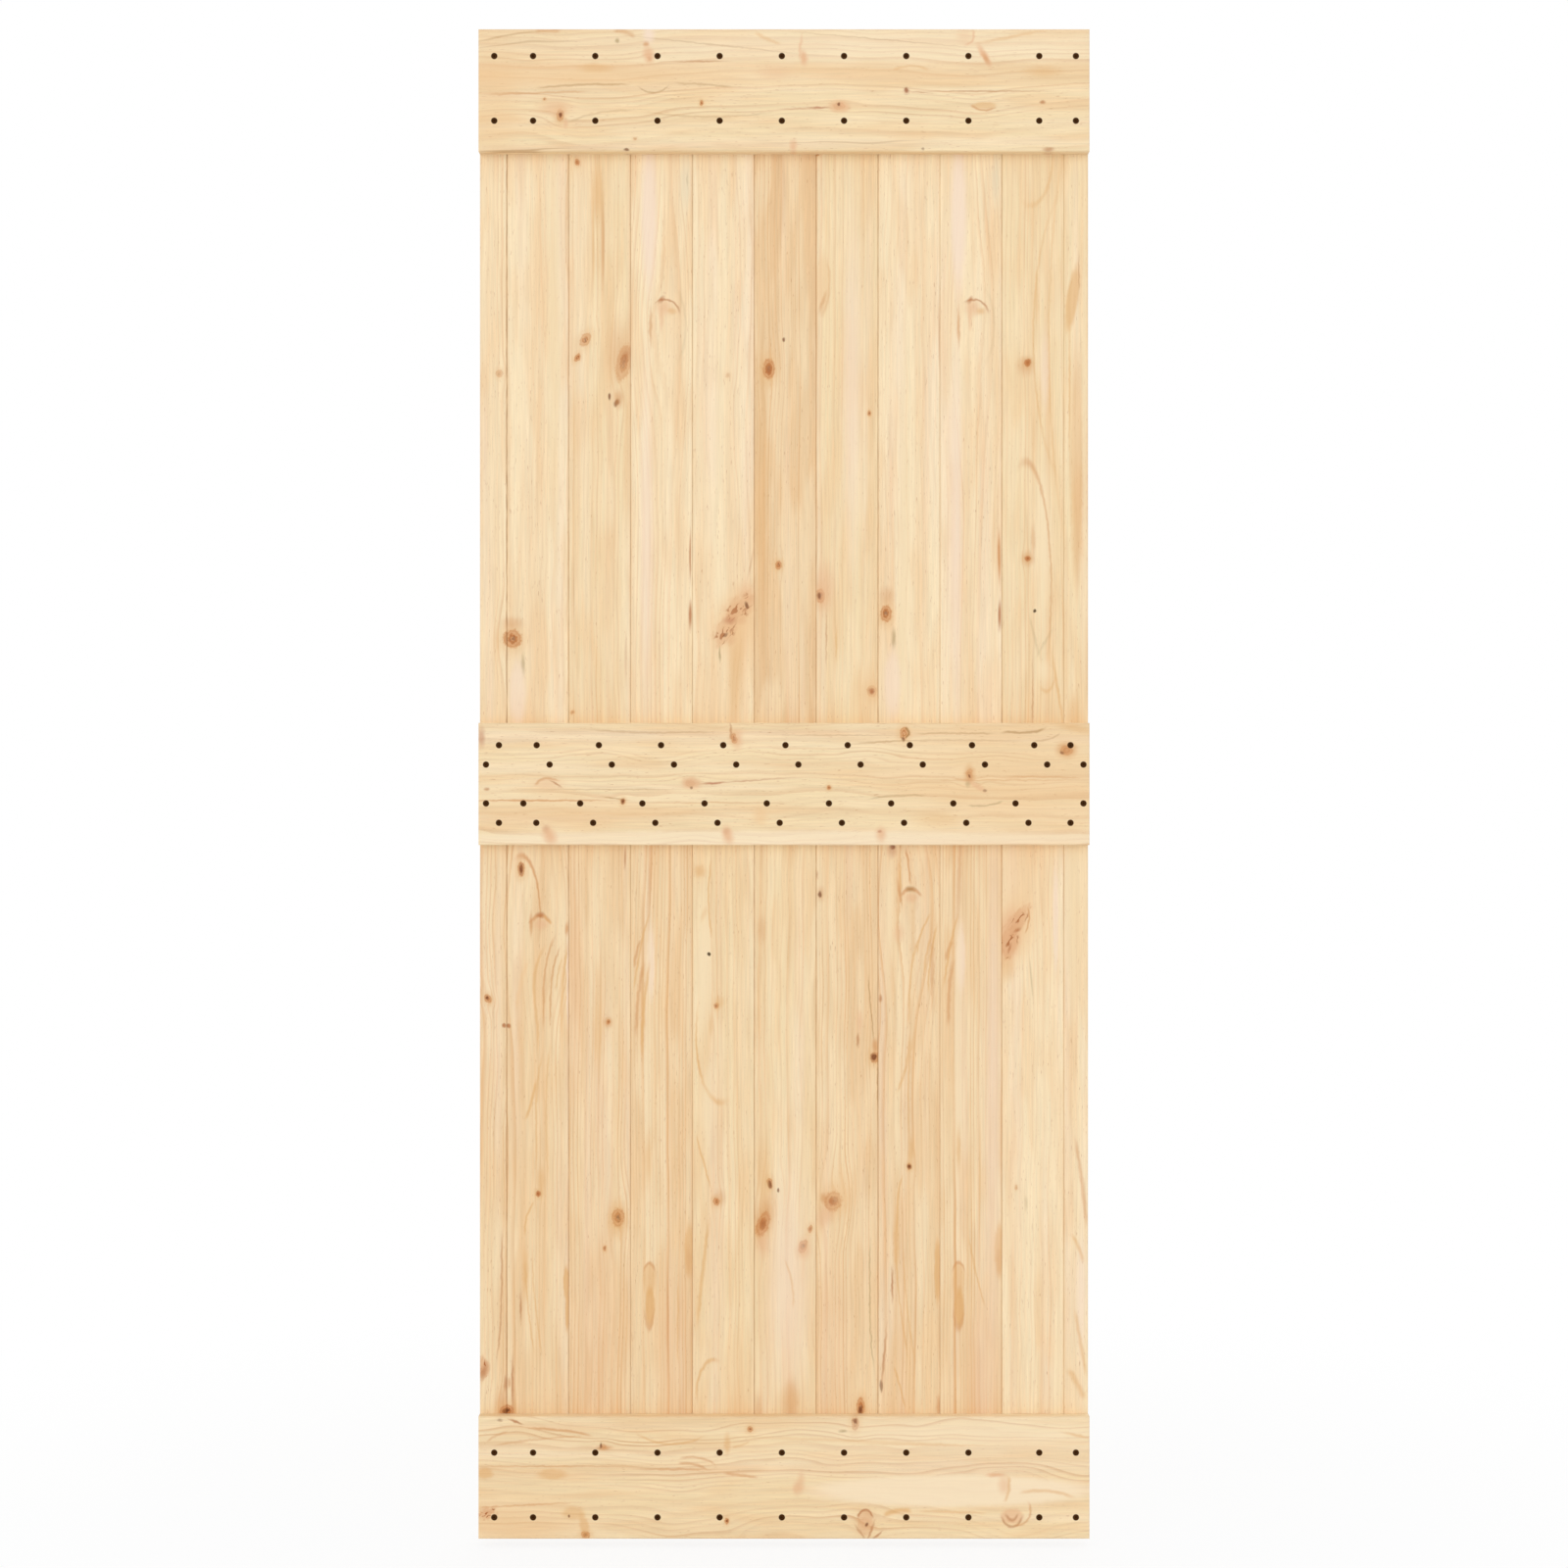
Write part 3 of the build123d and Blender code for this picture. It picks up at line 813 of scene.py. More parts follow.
def lay_tint(tree, given, result, shown):
    """Lay a mark's tint over the colour under it, as far as the mark is shown there."""
    amount = maths(tree, "MULTIPLY", shown, given["Amount"])
    join(tree, mixed(tree, amount, given["Color"], given["Tint"]), result["Color"])


def knot_group():
    """One knot: it parts the rings, closes them round itself, stains the wood and has a dark heart."""
    carried = {"Bend": "Float", "Rise": "Float", "Stain": "Float", "Heart": "Float", "Halo": "Float"}
    own = {"Grit": "Float", "Staining": "Float", "Darkening": "Float", "Pull": "Float", "Lift": "Float"}
    tree, given, result = new_group("Knot", {**PLACED, **own, **carried}, carried)
    inside = inside_mark(tree, given)
    away = distance_from_zero(tree, inside)
    ragged = maths(tree, "MULTIPLY_ADD", given["Grit"], 0.45, away)
    long_away = distance_from_zero(tree, vectors(tree, "MULTIPLY", inside, (1, 1, 0.5)))
    sideways = add(tree, "SeparateXYZ", {0: inside}).outputs["X"]
    flow = ramp(tree, long_away, 3.4, 0.5)
    spread = maths(tree, "MULTIPLY", sideways, flow)
    join(tree, maths(tree, "MULTIPLY_ADD", spread, given["Pull"], given["Bend"]), result["Bend"])
    join(tree, maths(tree, "MULTIPLY_ADD", flow, given["Lift"], given["Rise"]), result["Rise"])
    whorl = maths(tree, "COSINE", maths(tree, "MULTIPLY_ADD", ragged, 12.5, -11.0))
    body = ramp(tree, ragged, 1.18, 0.66)
    stained = maths(tree, "MULTIPLY", body, maths(tree, "MULTIPLY_ADD", whorl, 0.2, 0.82))
    join(tree, maths(tree, "MULTIPLY_ADD", stained, given["Staining"], given["Stain"]), result["Stain"])
    core = ramp(tree, maths(tree, "ADD", given["Grit"], away), 0.38, 0.1)
    join(tree, maths(tree, "MULTIPLY_ADD", core, given["Darkening"], given["Heart"]), result["Heart"])
    glow = ramp(tree, ragged, 2.4, 0.8)
    join(tree, maths(tree, "MULTIPLY_ADD", glow, given["Staining"], given["Halo"]), result["Halo"])
    return tree


def tint_group():
    """A soft oval of another colour laid over the wood."""
    tree, given, result = new_group("Tint", {**COLOURED, "Softness": "Float"}, {"Color": "Color"})
    away = distance_from_zero(tree, inside_mark(tree, given))
    rim = maths(tree, "ADD", 1.0, given["Softness"])
    middle = maths(tree, "SUBTRACT", 1.0, given["Softness"])
    lay_tint(tree, given, result, ramp(tree, away, rim, middle))
    return tree


def arc_group():
    """Part of an oval line of another colour, on the side that it faces."""
    own = {"Facing": "Vector", "Thickness": "Float"}
    tree, given, result = new_group("Arc", {**COLOURED, **own}, {"Color": "Color"})
    inside = inside_mark(tree, given)
    off_line = maths(tree, "ABSOLUTE", maths(tree, "SUBTRACT", distance_from_zero(tree, inside), 1.0))
    line = ramp(tree, off_line, given["Thickness"], 0.0)
    toward = {0: inside, 1: given["Facing"]}
    ahead = add(tree, "VectorMath", toward, operation="DOT_PRODUCT").outputs["Value"]
    lay_tint(tree, given, result, maths(tree, "MULTIPLY", line, ramp(tree, ahead, 0.2, 0.8)))
    return tree


def burl_group():
    """Torn and tangled grain inside an oval: ragged dark strokes over an orange patch."""
    inputs = {**PLACED, "Color": "Color", "Amount": "Float", "Seed": "Float"}
    tree, given, result = new_group("Burl", inputs, {"Color": "Color"})
    inside = inside_mark(tree, given)
    tangle = noise(tree, inside, (1.6, 0, 1.6), given["Seed"], 2.0).outputs
    off_middle = maths(tree, "SUBTRACT", tangle[0], 0.5)
    ragged = maths(tree, "MULTIPLY_ADD", off_middle, 1.6, distance_from_zero(tree, inside))
    bent = vectors(tree, "MULTIPLY_ADD", tangle["Color"], (0.9, 0, 0.9), inside)
    strokes = noise(tree, bent, (4.5, 0, 2.0), given["Seed"], 1.0).outputs[0]
    patch = maths(tree, "MULTIPLY", ramp(tree, ragged, 1.25, 0.45, 0.0, 0.65), given["Amount"])
    torn = maths(tree, "MULTIPLY", ramp(tree, strokes, 0.55, 0.66), ramp(tree, ragged, 1.0, 0.55))
    torn = maths(tree, "MULTIPLY", torn, given["Amount"])
    colour = mixed(tree, patch, given["Color"], between(ORANGE, BLUSH, 0.6))
    join(tree, mixed(tree, torn, colour, between(RUST, UMBER, 0.15)), result["Color"])
    return tree


def curve_group():
    """A bowed line of another colour. Its bend and sway are counted in half widths of the line."""
    own = {"Bend": "Float", "Sway": "Float"}
    tree, given, result = new_group("Curve", {**COLOURED, **own}, {"Color": "Color"})
    parts = add(tree, "SeparateXYZ", {0: inside_mark(tree, given)}).outputs
    along = parts["Z"]
    bow = maths(tree, "MULTIPLY_ADD", maths(tree, "MULTIPLY", along, along), -1.0, 1.0)
    sway = maths(tree, "MULTIPLY", given["Sway"], 2.6)
    shape = maths(tree, "MULTIPLY_ADD", along, sway, given["Bend"])
    off_line = maths(tree, "SUBTRACT", parts["X"], maths(tree, "MULTIPLY", shape, bow))
    line = ramp(tree, maths(tree, "ABSOLUTE", off_line), 1.7, 0.1)
    shown = maths(tree, "MULTIPLY", line, ramp(tree, maths(tree, "ABSOLUTE", along), 1.0, 0.6))
    lay_tint(tree, given, result, shown)
    return tree


def rings_group():
    """Growth rings round a wandering pith: 1 in the dark latewood and 0 in the pale earlywood."""
    inputs = {
        "Wood": "Vector", "Pith": "Vector", "Spacing": "Float", "Wave": "Float", "Seed": "Float",
        "Bend": "Float", "Rise": "Float",
    }
    tree, given, result = new_group("Growth rings", inputs, {"Late": "Float", "Flow": "Vector"})
    slow = noise(tree, given["Wood"], RING_SWAY, given["Seed"], 2.0).outputs["Color"]
    sway = vectors(tree, "MULTIPLY", vectors(tree, "SUBTRACT", slow, (0.5, 0.5, 0.5)), (3.0, 5.0, 0.0))
    sway = add(tree, "VectorMath", {0: sway, "Scale": given["Wave"]}, operation="SCALE").outputs[0]
    ripple = noise(tree, given["Wood"], RING_RIPPLE, given["Seed"], 1.5).outputs[0]
    ripple = maths(tree, "MULTIPLY", maths(tree, "SUBTRACT", ripple, 0.5), given["Wave"])
    shift = maths(tree, "SUBTRACT", ripple, given["Bend"])
    moved = add(tree, "CombineXYZ", {"X": shift, "Y": ripple}).outputs[0]
    flow = vectors(tree, "ADD", given["Wood"], moved)
    join(tree, flow, result["Flow"])
    from_pith = vectors(tree, "ADD", vectors(tree, "SUBTRACT", flow, given["Pith"]), sway)
    radius = distance_from_zero(tree, vectors(tree, "MULTIPLY", from_pith, (1, 1, 0)))
    radius = maths(tree, "ADD", radius, given["Rise"])
    ring = maths(tree, "DIVIDE", radius, given["Spacing"])
    uneven = add(tree, "TexNoise", {"W": ring, "Scale": 0.35, "Detail": 0.0}, noise_dimensions="1D")
    ring = maths(tree, "MULTIPLY_ADD", uneven.outputs[0], 2.4, ring)
    part = maths(tree, "FRACT", ring)
    late = maths(tree, "MULTIPLY", ramp(tree, part, 0.4, 0.88), ramp(tree, part, 1.0, 0.92))
    number = maths(tree, "ADD", maths(tree, "FLOOR", ring), given["Seed"])
    strength = add(tree, "TexWhiteNoise", {"W": number}, noise_dimensions="1D").outputs["Value"]
    strength = maths(tree, "MULTIPLY_ADD", maths(tree, "POWER", strength, 2.0), 0.85, 0.25)
    join(tree, maths(tree, "MULTIPLY", late, strength), result["Late"])
    return tree


def clear_wood_colour(tree, given):
    """Broad bands and patches of warmer, pinker, peachier and paler wood."""
    bands = noise(tree, given["Wood"], BANDS, given["Seed"], 1.0).outputs["Color"]
    tones = add(tree, "SeparateXYZ", {0: bands}).outputs
    warmth = ramp(tree, tones["X"], 0.4, 0.65, 0.0, 0.8)
    colour = mixed(tree, warmth, given["Earlywood"], given["Warm tone"])
    colour = mixed(tree, ramp(tree, tones["Y"], 0.5, 0.75, 0.0, 0.3), colour, linear(PINK))
    patches = noise(tree, given["Wood"], PATCHES, given["Seed"], 1.0).outputs["Color"]
    hues = add(tree, "SeparateXYZ", {0: patches}).outputs
    colour = mixed(tree, ramp(tree, hues["X"], 0.45, 0.65, 0.0, 0.35), colour, linear(PEACH))
    return mixed(tree, ramp(tree, hues["Y"], 0.45, 0.65, 0.0, 0.45), colour, linear(PALE))


def knotted_colour(tree, given, colour):
    """The wood's colour with the halos, stains and dark hearts of its knots."""
    colour = mixed(tree, maths(tree, "MULTIPLY", given["Halo"], 0.35), colour, linear(AMBER))
    colour = mixed(tree, given["Stain"], colour, linear(ORANGE))
    deeper = maths(tree, "MULTIPLY", maths(tree, "SUBTRACT", given["Stain"], 0.55), 1.6)
    colour = mixed(tree, deeper, colour, linear(RUST))
    return mixed(tree, given["Heart"], colour, linear(UMBER))


def pine_group():
    """Colour, roughness and relief of bare pine from its rings, knots and fibres."""
    inputs = {
        "Wood": "Vector", "Late": "Float", "Stain": "Float", "Heart": "Float", "Halo": "Float",
        "Earlywood": "Color", "Latewood": "Color", "Warm tone": "Color", "Boldness": "Float",
        "Seed": "Float",
    }
    outputs = {"Color": "Color", "Roughness": "Float", "Height": "Float"}
    tree, given, result = new_group("Bare pine", inputs, outputs)
    wood, seed = given["Wood"], given["Seed"]
    fading = noise(tree, wood, FADING, seed, 1.0).outputs[0]
    strength = maths(tree, "MULTIPLY", ramp(tree, fading, 0.25, 0.7, 0.35, 1.2), given["Boldness"])
    late = maths(tree, "MULTIPLY", given["Late"], strength)
    colour = mixed(tree, late, clear_wood_colour(tree, given), given["Latewood"])
    fibres = noise(tree, wood, FIBRES, seed, 2.0).outputs[0]
    colour = mixed(tree, 1.0, colour, ramp(tree, fibres, 0.25, 0.75, 0.96, 1.04), "MULTIPLY")
    strands = noise(tree, wood, STRANDS, seed, 1.0).outputs[0]
    colour = mixed(tree, 1.0, colour, ramp(tree, strands, 0.25, 0.75, 0.97, 1.035), "MULTIPLY")
    flecks = noise(tree, wood, FLECKS, seed, 1.0).outputs[0]
    colour = mixed(tree, ramp(tree, flecks, 0.66, 0.8, 0.0, 0.4), colour, linear(RUST))
    join(tree, knotted_colour(tree, given, colour), result["Color"])
    smooth = maths(tree, "MULTIPLY_ADD", given["Late"], -0.08, ramp(tree, fibres, 0.2, 0.8, 0.68, 0.56))
    join(tree, maths(tree, "MULTIPLY_ADD", given["Stain"], -0.14, smooth), result["Roughness"])
    height = maths(tree, "MULTIPLY_ADD", late, 0.5, fibres)
    join(tree, maths(tree, "MULTIPLY_ADD", given["Heart"], -1.0, height), result["Height"])
    return tree


def arris_group():
    """How near a point of a squared piece lies to one of its edges: 1 on the edge, 0 past the reach."""
    inputs = {"Wood": "Vector", "Low corner": "Vector", "High corner": "Vector", "Reach": "Float"}
    tree, given, result = new_group("Arris shade and dirt", inputs, {"Amount": "Float"})
    above = vectors(tree, "SUBTRACT", given["Wood"], given["Low corner"])
    below = vectors(tree, "SUBTRACT", given["High corner"], given["Wood"])
    depth = add(tree, "SeparateXYZ", {0: vectors(tree, "MINIMUM", above, below)}).outputs
    near = maths(tree, "MINIMUM", depth["X"], depth["Y"])
    far = maths(tree, "MAXIMUM", depth["X"], depth["Y"])
    second = maths(tree, "MAXIMUM", near, maths(tree, "MINIMUM", far, depth["Z"]))
    # Uneven reach of the painted shade-and-dirt line along the edges
    unevenness = noise(tree, given["Wood"], EDGE_UNEVENNESS).outputs[0]
    reach = maths(tree, "MULTIPLY", given["Reach"], ramp(tree, unevenness, 0.3, 0.7, 0.7, 1.3))
    join(tree, ramp(tree, second, reach, maths(tree, "MULTIPLY", reach, 0.4)), result["Amount"])
    return tree


KNOT = knot_group()
TINT = tint_group()
ARC = arc_group()
BURL = burl_group()
CURVE = curve_group()
RINGS = rings_group()
PINE = pine_group()
ARRIS = arris_group()


# Materials. Sizes are in millimetres, and a mark's half depth takes it right through the wood

THROUGH = 1e5
ARRIS_REACH = 1.2
JOINT_DARKNESS = 0.25
# Painted pocket shade: full within RIM_INSIDE millimetres of a pocket's middle, fading out by RIM_OUTSIDE,
# so it covers the pocket walls and a thin ring of the face
RIM_INSIDE = 4.15
RIM_OUTSIDE = 4.75


def new_material(name):
    """A material without nodes, and its node tree."""
    material = bpy.data.materials.new(name)
    material.use_nodes = True
    material.node_tree.nodes.clear()
    return material, material.node_tree


def placed(mark, along_x):
    """Centre, half sizes and turn of a mark in the wood's own directions: across, depth and along."""
    if along_x:
        return (mark.y, 0, mark.x), (mark.tall / 2, THROUGH, mark.wide / 2), (0, mark.tilt, 0)
    return (mark.x, 0, mark.y), (mark.wide / 2, THROUGH, mark.tall / 2), (0, mark.tilt, 0)


def spanned(mark, along_x):
    """Centre, half sizes and turn of a curve, from its two ends."""
    first, last = [Vector(end[::-1] if along_x else end) for end in (mark.start, mark.end)]
    middle = (first + last) / 2
    reach = last - first
    turn = math.atan2(reach.x, reach.y)
    return (middle.x, 0, middle.y), (mark.line / 2, THROUGH, reach.length / 2), (0, turn, 0)


def knots_of(tree, look, wood, seed, along_x):
    """Place a look's knots one after another: what they carry to the rings and to the colour."""
    grit = maths(tree, "SUBTRACT", noise(tree, wood, GRIT, seed, 1.0).outputs[0], 0.5)
    shake = noise(tree, wood, SHAKE, seed, 1.0).outputs["Color"]
    shake = vectors(tree, "SUBTRACT", shake, (0.5, 0.5, 0.5))
    shaken = vectors(tree, "MULTIPLY_ADD", shake, (3, 0, 4), wood)
    carried = {}
    for mark in look.marks:
        if isinstance(mark, Knot):
            centre, size, turn = placed(mark, along_x)
            inputs = {
                "Wood": shaken, "Centre": centre, "Size": size, "Turn": turn, "Staining": mark.stain,
                "Darkening": mark.heart, "Pull": mark.pull * size[0], "Lift": mark.lift, "Grit": grit,
            }
            outputs = place_group(tree, KNOT, {**inputs, **carried})
            carried = {socket.name: socket for socket in outputs}
    flow = {key: carried[key] for key in ("Bend", "Rise") if key in carried}
    stains = {key: carried[key] for key in ("Stain", "Heart", "Halo") if key in carried}
    return shaken, flow, stains


def lay_marks(tree, look, colour, shaken, flowing, seed, along_x):
    """Lay a look's tints, streaks, arcs, curves and burls over the wood's colour."""
    for mark in look.marks:
        if isinstance(mark, Knot):
            continue
        centre, size, turn = spanned(mark, along_x) if isinstance(mark, Curve) else placed(mark, along_x)
        inputs = {"Color": colour, "Centre": centre, "Size": size, "Turn": turn, "Amount": mark.amount}
        if isinstance(mark, Tint):
            wood = flowing if mark.flowing else shaken
            inputs.update({"Wood": wood, "Tint": linear(mark.colour), "Softness": mark.soft})
            outputs = place_group(tree, TINT, inputs)
        elif isinstance(mark, Arc):
            across, along = reversed(mark.facing) if along_x else mark.facing
            thickness = mark.line / min(size[0], size[2])
            inputs.update({"Wood": shaken, "Tint": linear(mark.colour), "Thickness": thickness})
            outputs = place_group(tree, ARC, {**inputs, "Facing": (across, 0, along)})
        elif isinstance(mark, Curve):
            inputs.update({"Wood": shaken, "Tint": linear(mark.colour)})
            bowed = {"Bend": mark.bend / size[0], "Sway": mark.sway / size[0]}
            outputs = place_group(tree, CURVE, {**inputs, **bowed})
        else:
            outputs = place_group(tree, BURL, {**inputs, "Wood": shaken, "Seed": seed})
        colour = outputs["Color"]
    return colour


def pocket_shade(tree, wood, pockets):
    """1 in a ledge's screw pockets and on a thin ring round them, where their shade is painted dark, and 0
    away from them.

    For each row, a stepped ramp gives the place of the nearest pocket, as a share of one metre.
    """
    place = add(tree, "SeparateXYZ", {0: wood}).outputs
    share = maths(tree, "MULTIPLY_ADD", place["Z"], MILLIMETRE, 0.5)
    rims = 0.0
    for row in sorted({up for up, along in pockets}):
        middles = [along * MILLIMETRE + 0.5 for up, along in pockets if up == row]
        nearest = add(tree, "ValToRGB", {"Fac": share})
        steps = nearest.color_ramp
        steps.interpolation = "CONSTANT"
        steps.elements.remove(steps.elements[1])
        first = middles[0]
        steps.elements[0].color = (first, first, first, 1)
        for before, here in zip(middles, middles[1:]):
            steps.elements.new((before + here) / 2).color = (here, here, here, 1)
        off_along = maths(tree, "DIVIDE", maths(tree, "SUBTRACT", share, nearest.outputs[0]), MILLIMETRE)
        off_up = maths(tree, "SUBTRACT", place["X"], row)
        off_middle = add(tree, "CombineXYZ", {"X": off_along, "Y": off_up}).outputs[0]
        rim = ramp(tree, distance_from_zero(tree, off_middle), RIM_OUTSIDE, RIM_INSIDE)
        rims = maths(tree, "MAXIMUM", rims, rim)
    return rims


def pine_material(name, look, latewood, seed, mapping, corners, lines, along_x, pockets=()):
    """Bare pine of one board or ledge. Its mapping gives millimetres across, deep and along the wood."""
    material, tree = new_material(name)
    point = add(tree, "TexCoord", {}).outputs["Object"]
    wood = add(tree, "Mapping", {"Vector": point, **mapping}).outputs[0]
    shaken, flow, stains = knots_of(tree, look, wood, seed, along_x)
    pith = (look.pith[0], look.pith[1], 0)
    rings = place_group(tree, RINGS, {
        "Wood": wood, "Pith": pith, "Spacing": look.spacing, "Wave": look.wave, "Seed": seed, **flow,
    })
    pine = place_group(tree, PINE, {
        "Wood": wood, "Late": rings["Late"], "Earlywood": linear(look.tone), "Latewood": linear(latewood),
        "Warm tone": between(look.tone, latewood, 0.25), "Boldness": look.bold, "Seed": seed, **stains,
    })
    colour = lay_marks(tree, look, pine["Color"], shaken, rings["Flow"], seed, along_x)
    low, high = corners
    # Dark lines along the joints and edges: painted shade in the V-grooves between boards, and some dirt
    arris_shade = place_group(tree, ARRIS, {
        "Wood": wood, "Low corner": low, "High corner": high, "Reach": ARRIS_REACH,
    })
    first, last = lines
    across = add(tree, "SeparateXYZ", {0: wood}).outputs["X"]
    past_middle = maths(tree, "GREATER_THAN", across, (low[0] + high[0]) / 2)
    strength = maths(tree, "MULTIPLY_ADD", past_middle, last - first, first)
    strength = maths(tree, "MULTIPLY", strength, JOINT_DARKNESS)
    darkened = maths(tree, "MULTIPLY", arris_shade["Amount"], strength)
    colour = mixed(tree, darkened, colour, linear(JOINT_SHADE_AND_DIRT))
    # Painted shade in the screw pockets, with a thin dark ring round each on the face
    if pockets:
        colour = mixed(tree, pocket_shade(tree, wood, pockets), colour, linear(HOLE_SHADE))
    bump = add(tree, "Bump", {"Strength": 0.35, "Distance": 0.0004, "Height": pine["Height"]})
    shader = add(tree, "BsdfPrincipled", {
        "Base Color": colour, "Roughness": pine["Roughness"], "Specular IOR Level": 0.3,
        "Normal": bump.outputs[0],
    })
    add(tree, "OutputMaterial", {"Surface": shader.outputs[0]})
    return material


def board_material(name, look, seed, lines):
    """Pine with its grain upright, and marks placed from the board's left joint and the leaf's top."""
    low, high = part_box(name)
    leaf_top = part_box("top_ledge")[1].z
    scale = 1 / MILLIMETRE
    mapping = {
        "Location": (-low.x * scale, -low.y * scale, leaf_top * scale),
        "Scale": (scale, scale, -scale),
    }
    tongued = not name.endswith("closer")
    face_width = high.x - low.x - (TONGUE if tongued else 0)
    corners = (
        (0, 0, (leaf_top - high.z) * scale),
        (face_width * scale, (high.y - low.y) * scale, (leaf_top - low.z) * scale),
    )
    return pine_material(
        name + "_pine", look, BOARD_LATEWOOD, seed, mapping, corners, lines, along_x=False
    )


def ledge_material(name, look, seed):
    """Pine with its grain level. Marks are placed from the middle of the ledge."""
    low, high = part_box(name)
    middle_z = (low.z + high.z) / 2
    scale = 1 / MILLIMETRE
    mapping = {
        "Location": (-middle_z * scale, -low.y * scale, 0),
        "Rotation": (0, math.radians(90), 0),
        "Scale": (-scale, scale, scale),
    }
    half_height = (high.z - low.z) / 2 * scale
    half_width = (high.x - low.x) / 2 * scale
    corners = ((-half_height, 0, -half_width), (half_height, (high.y - low.y) * scale, half_width))
    pockets = [(round((z - middle_z) * scale, 1), x * scale) for x, z in pocket_centres(name)]
    return pine_material(
        name + "_pine", look, LEDGE_LATEWOOD, seed, mapping, corners, LEDGE_EDGE_LINES,
        along_x=True, pockets=pockets,
    )


def coated_steel():
    """Dull black coating of the screws, with fine grains and slightly paler scuffs."""
    material, tree = new_material("screw_black_coating")
    point = add(tree, "TexCoord", {}).outputs["Object"]
    grains = noise(tree, point, (4000, 4000, 4000), 0.0, 2.0).outputs[0]
    scuffs = noise(tree, point, (500, 500, 500), 3.0, 2.0).outputs[0]
    scuffed = ramp(tree, scuffs, 0.5, 0.75, 0.0, 0.5)
    colour = mixed(tree, scuffed, linear(SCREW_DARK), linear(SCREW_SCUFF))
    bump = add(tree, "Bump", {"Strength": 0.3, "Distance": 0.0001, "Height": grains})
    shader = add(tree, "BsdfPrincipled", {
        "Base Color": colour, "Roughness": ramp(tree, grains, 0.2, 0.8, 0.55, 0.7),
        "Specular IOR Level": 0.05, "Normal": bump.outputs[0],
    })
    add(tree, "OutputMaterial", {"Surface": shader.outputs[0]})
    return material


def dress(node_name, material):
    """Give a node of the frame its material."""
    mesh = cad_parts[node_name].data
    mesh.materials.clear()
    mesh.materials.append(material)


def make_piece(name, mesh, material):
    """A new object from a finished mesh, in its material."""
    data = bpy.data.meshes.new(name)
    mesh.to_mesh(data)
    mesh.free()
    data.materials.append(material)
    piece = bpy.data.objects.new(name, data)
    bpy.context.scene.collection.objects.link(piece)
    return piece


# Screws

HEAD_RADIUS = 0.00395
HEAD_TOP = 0.0002
SHANK_RADIUS = 0.0022
RECESS_DEPTH = 0.0018
RECESS_REACH = 0.0023
RECESS_VALLEY = 0.0009
RECESS_TAPER = 0.6
HEAD_SIDES = 16
SCREW_TURN = 2.4


def pocket_centres(ledge_name):
    """Middles of the round pocket floors of a ledge, read from its own mesh."""
    floors = bmesh.new()
    floors.from_mesh(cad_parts[ledge_name].data)
    bmesh.ops.remove_doubles(floors, verts=floors.verts, dist=1e-6)
    other = [f for f in floors.faces if any(abs(v.co.y - POCKET_FLOOR) > 1e-5 for v in f.verts)]
    bmesh.ops.delete(floors, geom=other, context="FACES")
    centres = []
    waiting = set(floors.verts)
    while waiting:
        island = [waiting.pop()]
        for vertex in island:
            for edge in vertex.link_edges:
                neighbour = edge.other_vert(vertex)
                if neighbour in waiting:
                    waiting.remove(neighbour)
                    island.append(neighbour)
        xs = [v.co.x for v in island]
        zs = [v.co.z for v in island]
        centres.append(((min(xs) + max(xs)) / 2, (min(zs) + max(zs)) / 2))
    floors.free()
    return sorted(centres)


def add_screw(mesh, x, z, turn):
    """One countersunk head with a cross recess, seated in its pocket and facing the front."""
    circle = bmesh.ops.create_circle(mesh, cap_ends=True, radius=HEAD_RADIUS, segments=HEAD_SIDES)
    rim = circle["verts"]
    top = rim[0].link_faces[0]
    skirt = bmesh.ops.extrude_edge_only(mesh, edges=list(top.edges))["geom"]
    neck = [v for v in skirt if isinstance(v, bmesh.types.BMVert)]
    for vertex in neck:
        vertex.co = vertex.co * (SHANK_RADIUS / HEAD_RADIUS)
        vertex.co.z = HEAD_TOP - POCKET_FLOOR
    bottom_edges = [e for e in skirt if isinstance(e, bmesh.types.BMEdge)]
    bmesh.ops.contextual_create(mesh, geom=bottom_edges)
    bmesh.ops.inset_region(mesh, faces=[top], thickness=HEAD_RADIUS - RECESS_REACH)
    for vertex in top.verts:
        angle = math.atan2(vertex.co.y, vertex.co.x)
        reach = RECESS_VALLEY + (RECESS_REACH - RECESS_VALLEY) * abs(math.cos(2 * angle)) ** 3
        vertex.co = vertex.co.normalized() * reach
    floor_face = bmesh.ops.extrude_discrete_faces(mesh, faces=[top])["faces"][0]
    for vertex in floor_face.verts:
        vertex.co = vertex.co * RECESS_TAPER
        vertex.co.z = -RECESS_DEPTH
    screw = set(rim)
    pending = list(rim)
    for vertex in pending:
        for edge in vertex.link_edges:
            neighbour = edge.other_vert(vertex)
            if neighbour not in screw:
                screw.add(neighbour)
                pending.append(neighbour)
    place = (
        Matrix.Translation((x, HEAD_TOP, z))
        @ Matrix.Rotation(math.radians(90), 4, "X")
        @ Matrix.Rotation(turn, 4, "Z")
    )
    bmesh.ops.transform(mesh, matrix=place, verts=list(screw))


def make_screws(ledge_name, material):
    """All the screws of one ledge, joined in one piece."""
    mesh = bmesh.new()
    for number, (x, z) in enumerate(pocket_centres(ledge_name)):
        add_screw(mesh, x, z, turn=number * SCREW_TURN)
    bmesh.ops.recalc_face_normals(mesh, faces=mesh.faces)
    screws = make_piece(ledge_name + "_screws", mesh, material)
    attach(screws, "root")


# Studio

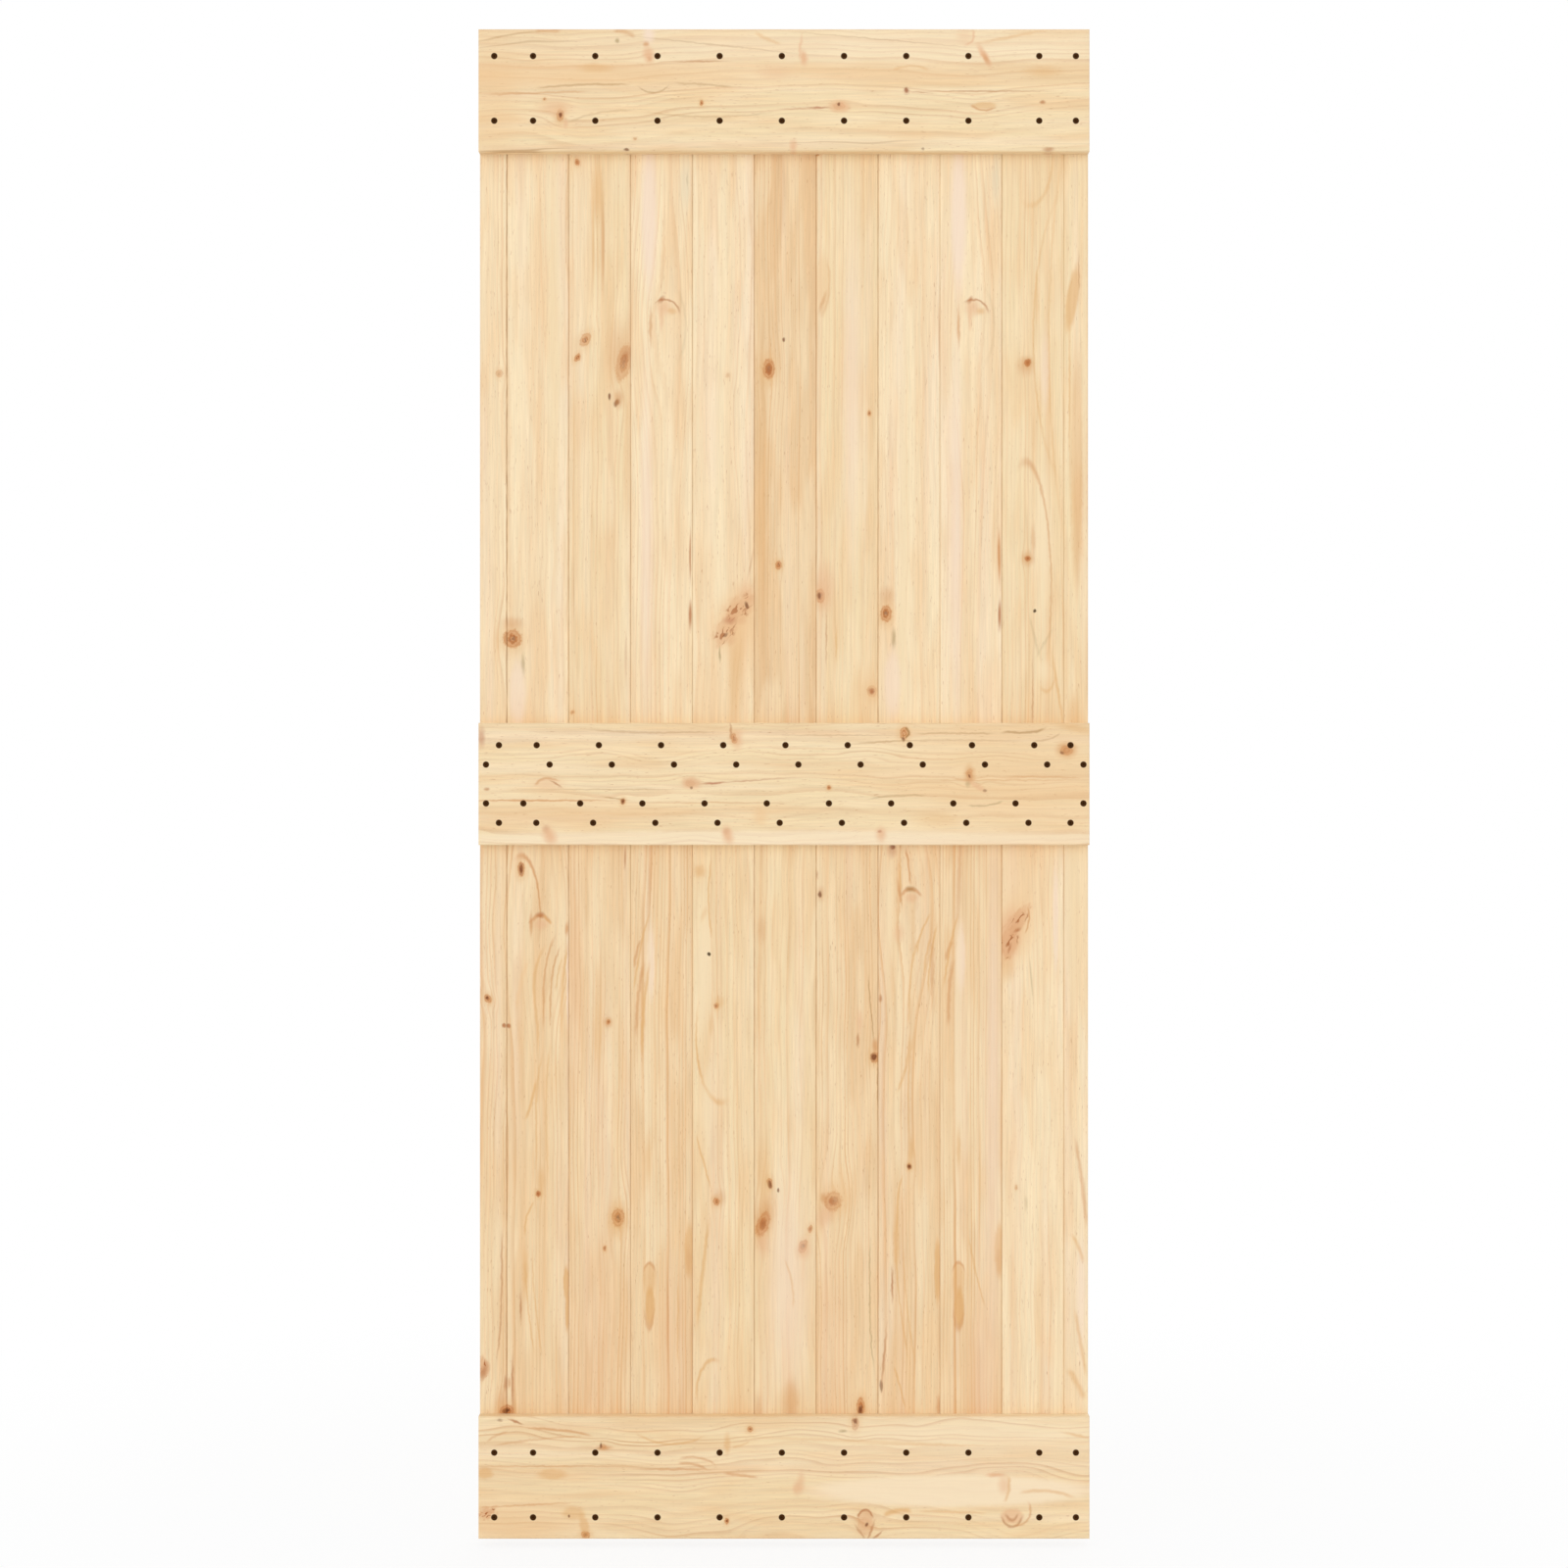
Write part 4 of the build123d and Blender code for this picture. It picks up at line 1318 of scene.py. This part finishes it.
FLOOR_REACH = 60.0
FLOOR_CLEARANCE = 0.012
WORLD_LIGHT = 0.8
LAMP_SOFTNESS = 60
CAMERA_DISTANCE = 4.0
CAMERA_LENS = 66.03
CAMERA_SENSOR = 36.0


def white_to_the_eye(tree):
    """1 for camera, glossy and transmission rays, 0 for the rays that light the leaf."""
    path = add(tree, "LightPath", {}).outputs
    seen = maths(tree, "MAXIMUM", path["Is Camera Ray"], path["Is Glossy Ray"])
    return maths(tree, "MAXIMUM", seen, path["Is Transmission Ray"])


def make_floor():
    """A pale floor just under the hanging leaf, which shows its soft shadow."""
    mesh = bmesh.new()
    bmesh.ops.create_grid(mesh, x_segments=1, y_segments=1, size=FLOOR_REACH)
    bmesh.ops.translate(mesh, verts=mesh.verts, vec=(0, 0, cad_box[0].z - FLOOR_CLEARANCE))
    material, tree = new_material("pale_floor")
    matt = add(tree, "BsdfDiffuse", {"Color": (0.9, 0.9, 0.9, 1.0)})
    white = add(tree, "Emission", {"Color": (1, 1, 1, 1), "Strength": 1.0})
    point = add(tree, "TexCoord", {}).outputs["Object"]
    away = distance_from_zero(tree, vectors(tree, "MULTIPLY", point, (1, 1, 0)))
    whiteness = ramp(tree, away, 0.3, 2.0, 0.87, 1.0)
    share = maths(tree, "MULTIPLY", white_to_the_eye(tree), whiteness)
    shader = add(tree, "MixShader", {0: share, 1: matt.outputs[0], 2: white.outputs[0]})
    add(tree, "OutputMaterial", {"Surface": shader.outputs[0]})
    floor = make_piece("floor", mesh, material)


def make_world(strength):
    """Even white light all round, and plain white wherever the eye sees past the floor."""
    world = bpy.data.worlds.new("studio")
    world.use_nodes = True
    tree = world.node_tree
    tree.nodes.clear()
    amount = maths(tree, "MULTIPLY_ADD", white_to_the_eye(tree), 1.0 - strength, strength)
    background = add(tree, "Background", {"Color": (1, 1, 1, 1), "Strength": amount})
    add(tree, "OutputWorld", {"Surface": background.outputs[0]})
    bpy.context.scene.world = world


def add_lamp(name, direction, strength):
    """A broad soft light that shines along a direction."""
    lamp = bpy.data.lights.new(name, "SUN")
    lamp.energy = strength
    lamp.angle = math.radians(LAMP_SOFTNESS)
    holder = bpy.data.objects.new(name, lamp)
    holder.rotation_euler = Vector(direction).to_track_quat("-Z", "Y").to_euler()
    bpy.context.scene.collection.objects.link(holder)


def add_camera():
    """The photo's view: straight on, at the height of the middle of the leaf."""
    camera = bpy.data.cameras.new("camera")
    camera.sensor_width = CAMERA_SENSOR
    camera.lens = CAMERA_LENS
    holder = bpy.data.objects.new("camera", camera)
    holder.location = (0, -CAMERA_DISTANCE, (cad_box[0].z + cad_box[1].z) / 2)
    holder.rotation_euler = (math.radians(90), 0, 0)
    bpy.context.scene.collection.objects.link(holder)
    bpy.context.scene.camera = holder


def dress_boards():
    """Give each board its pine, with a seed of its own and the joint lines at its two sides."""
    seeds = {name: SEED_STEP * number for number, name in enumerate(BOARD_LOOKS, start=1)}
    for tier, lines in JOINT_LINES.items():
        edge_lines = (LEAF_EDGE_LINE, *lines, LEAF_EDGE_LINE)
        names = [name for name in BOARD_LOOKS if name.startswith(tier)]
        for name, *sides in zip(names, edge_lines, edge_lines[1:]):
            dress(name, board_material(name, BOARD_LOOKS[name], seeds[name], sides))


def finish_ledges():
    """Give each ledge its pine and its screws."""
    coating = coated_steel()
    for number, (name, ledge_look) in enumerate(LEDGE_LOOKS.items(), start=31):
        dress(name, ledge_material(name, ledge_look, SEED_STEP * number))
        make_screws(name, coating)


dress_boards()
finish_ledges()
make_floor()
make_world(WORLD_LIGHT)
add_lamp("key", (0.5, 1.0, -0.06), 0.77)
add_lamp("fill", (-0.6, 1.0, 0.06), 0.39)
add_lamp("rear", (-0.3, -1.0, -0.5), 0.5)
add_camera()
bpy.context.scene.view_settings.view_transform = "Standard"
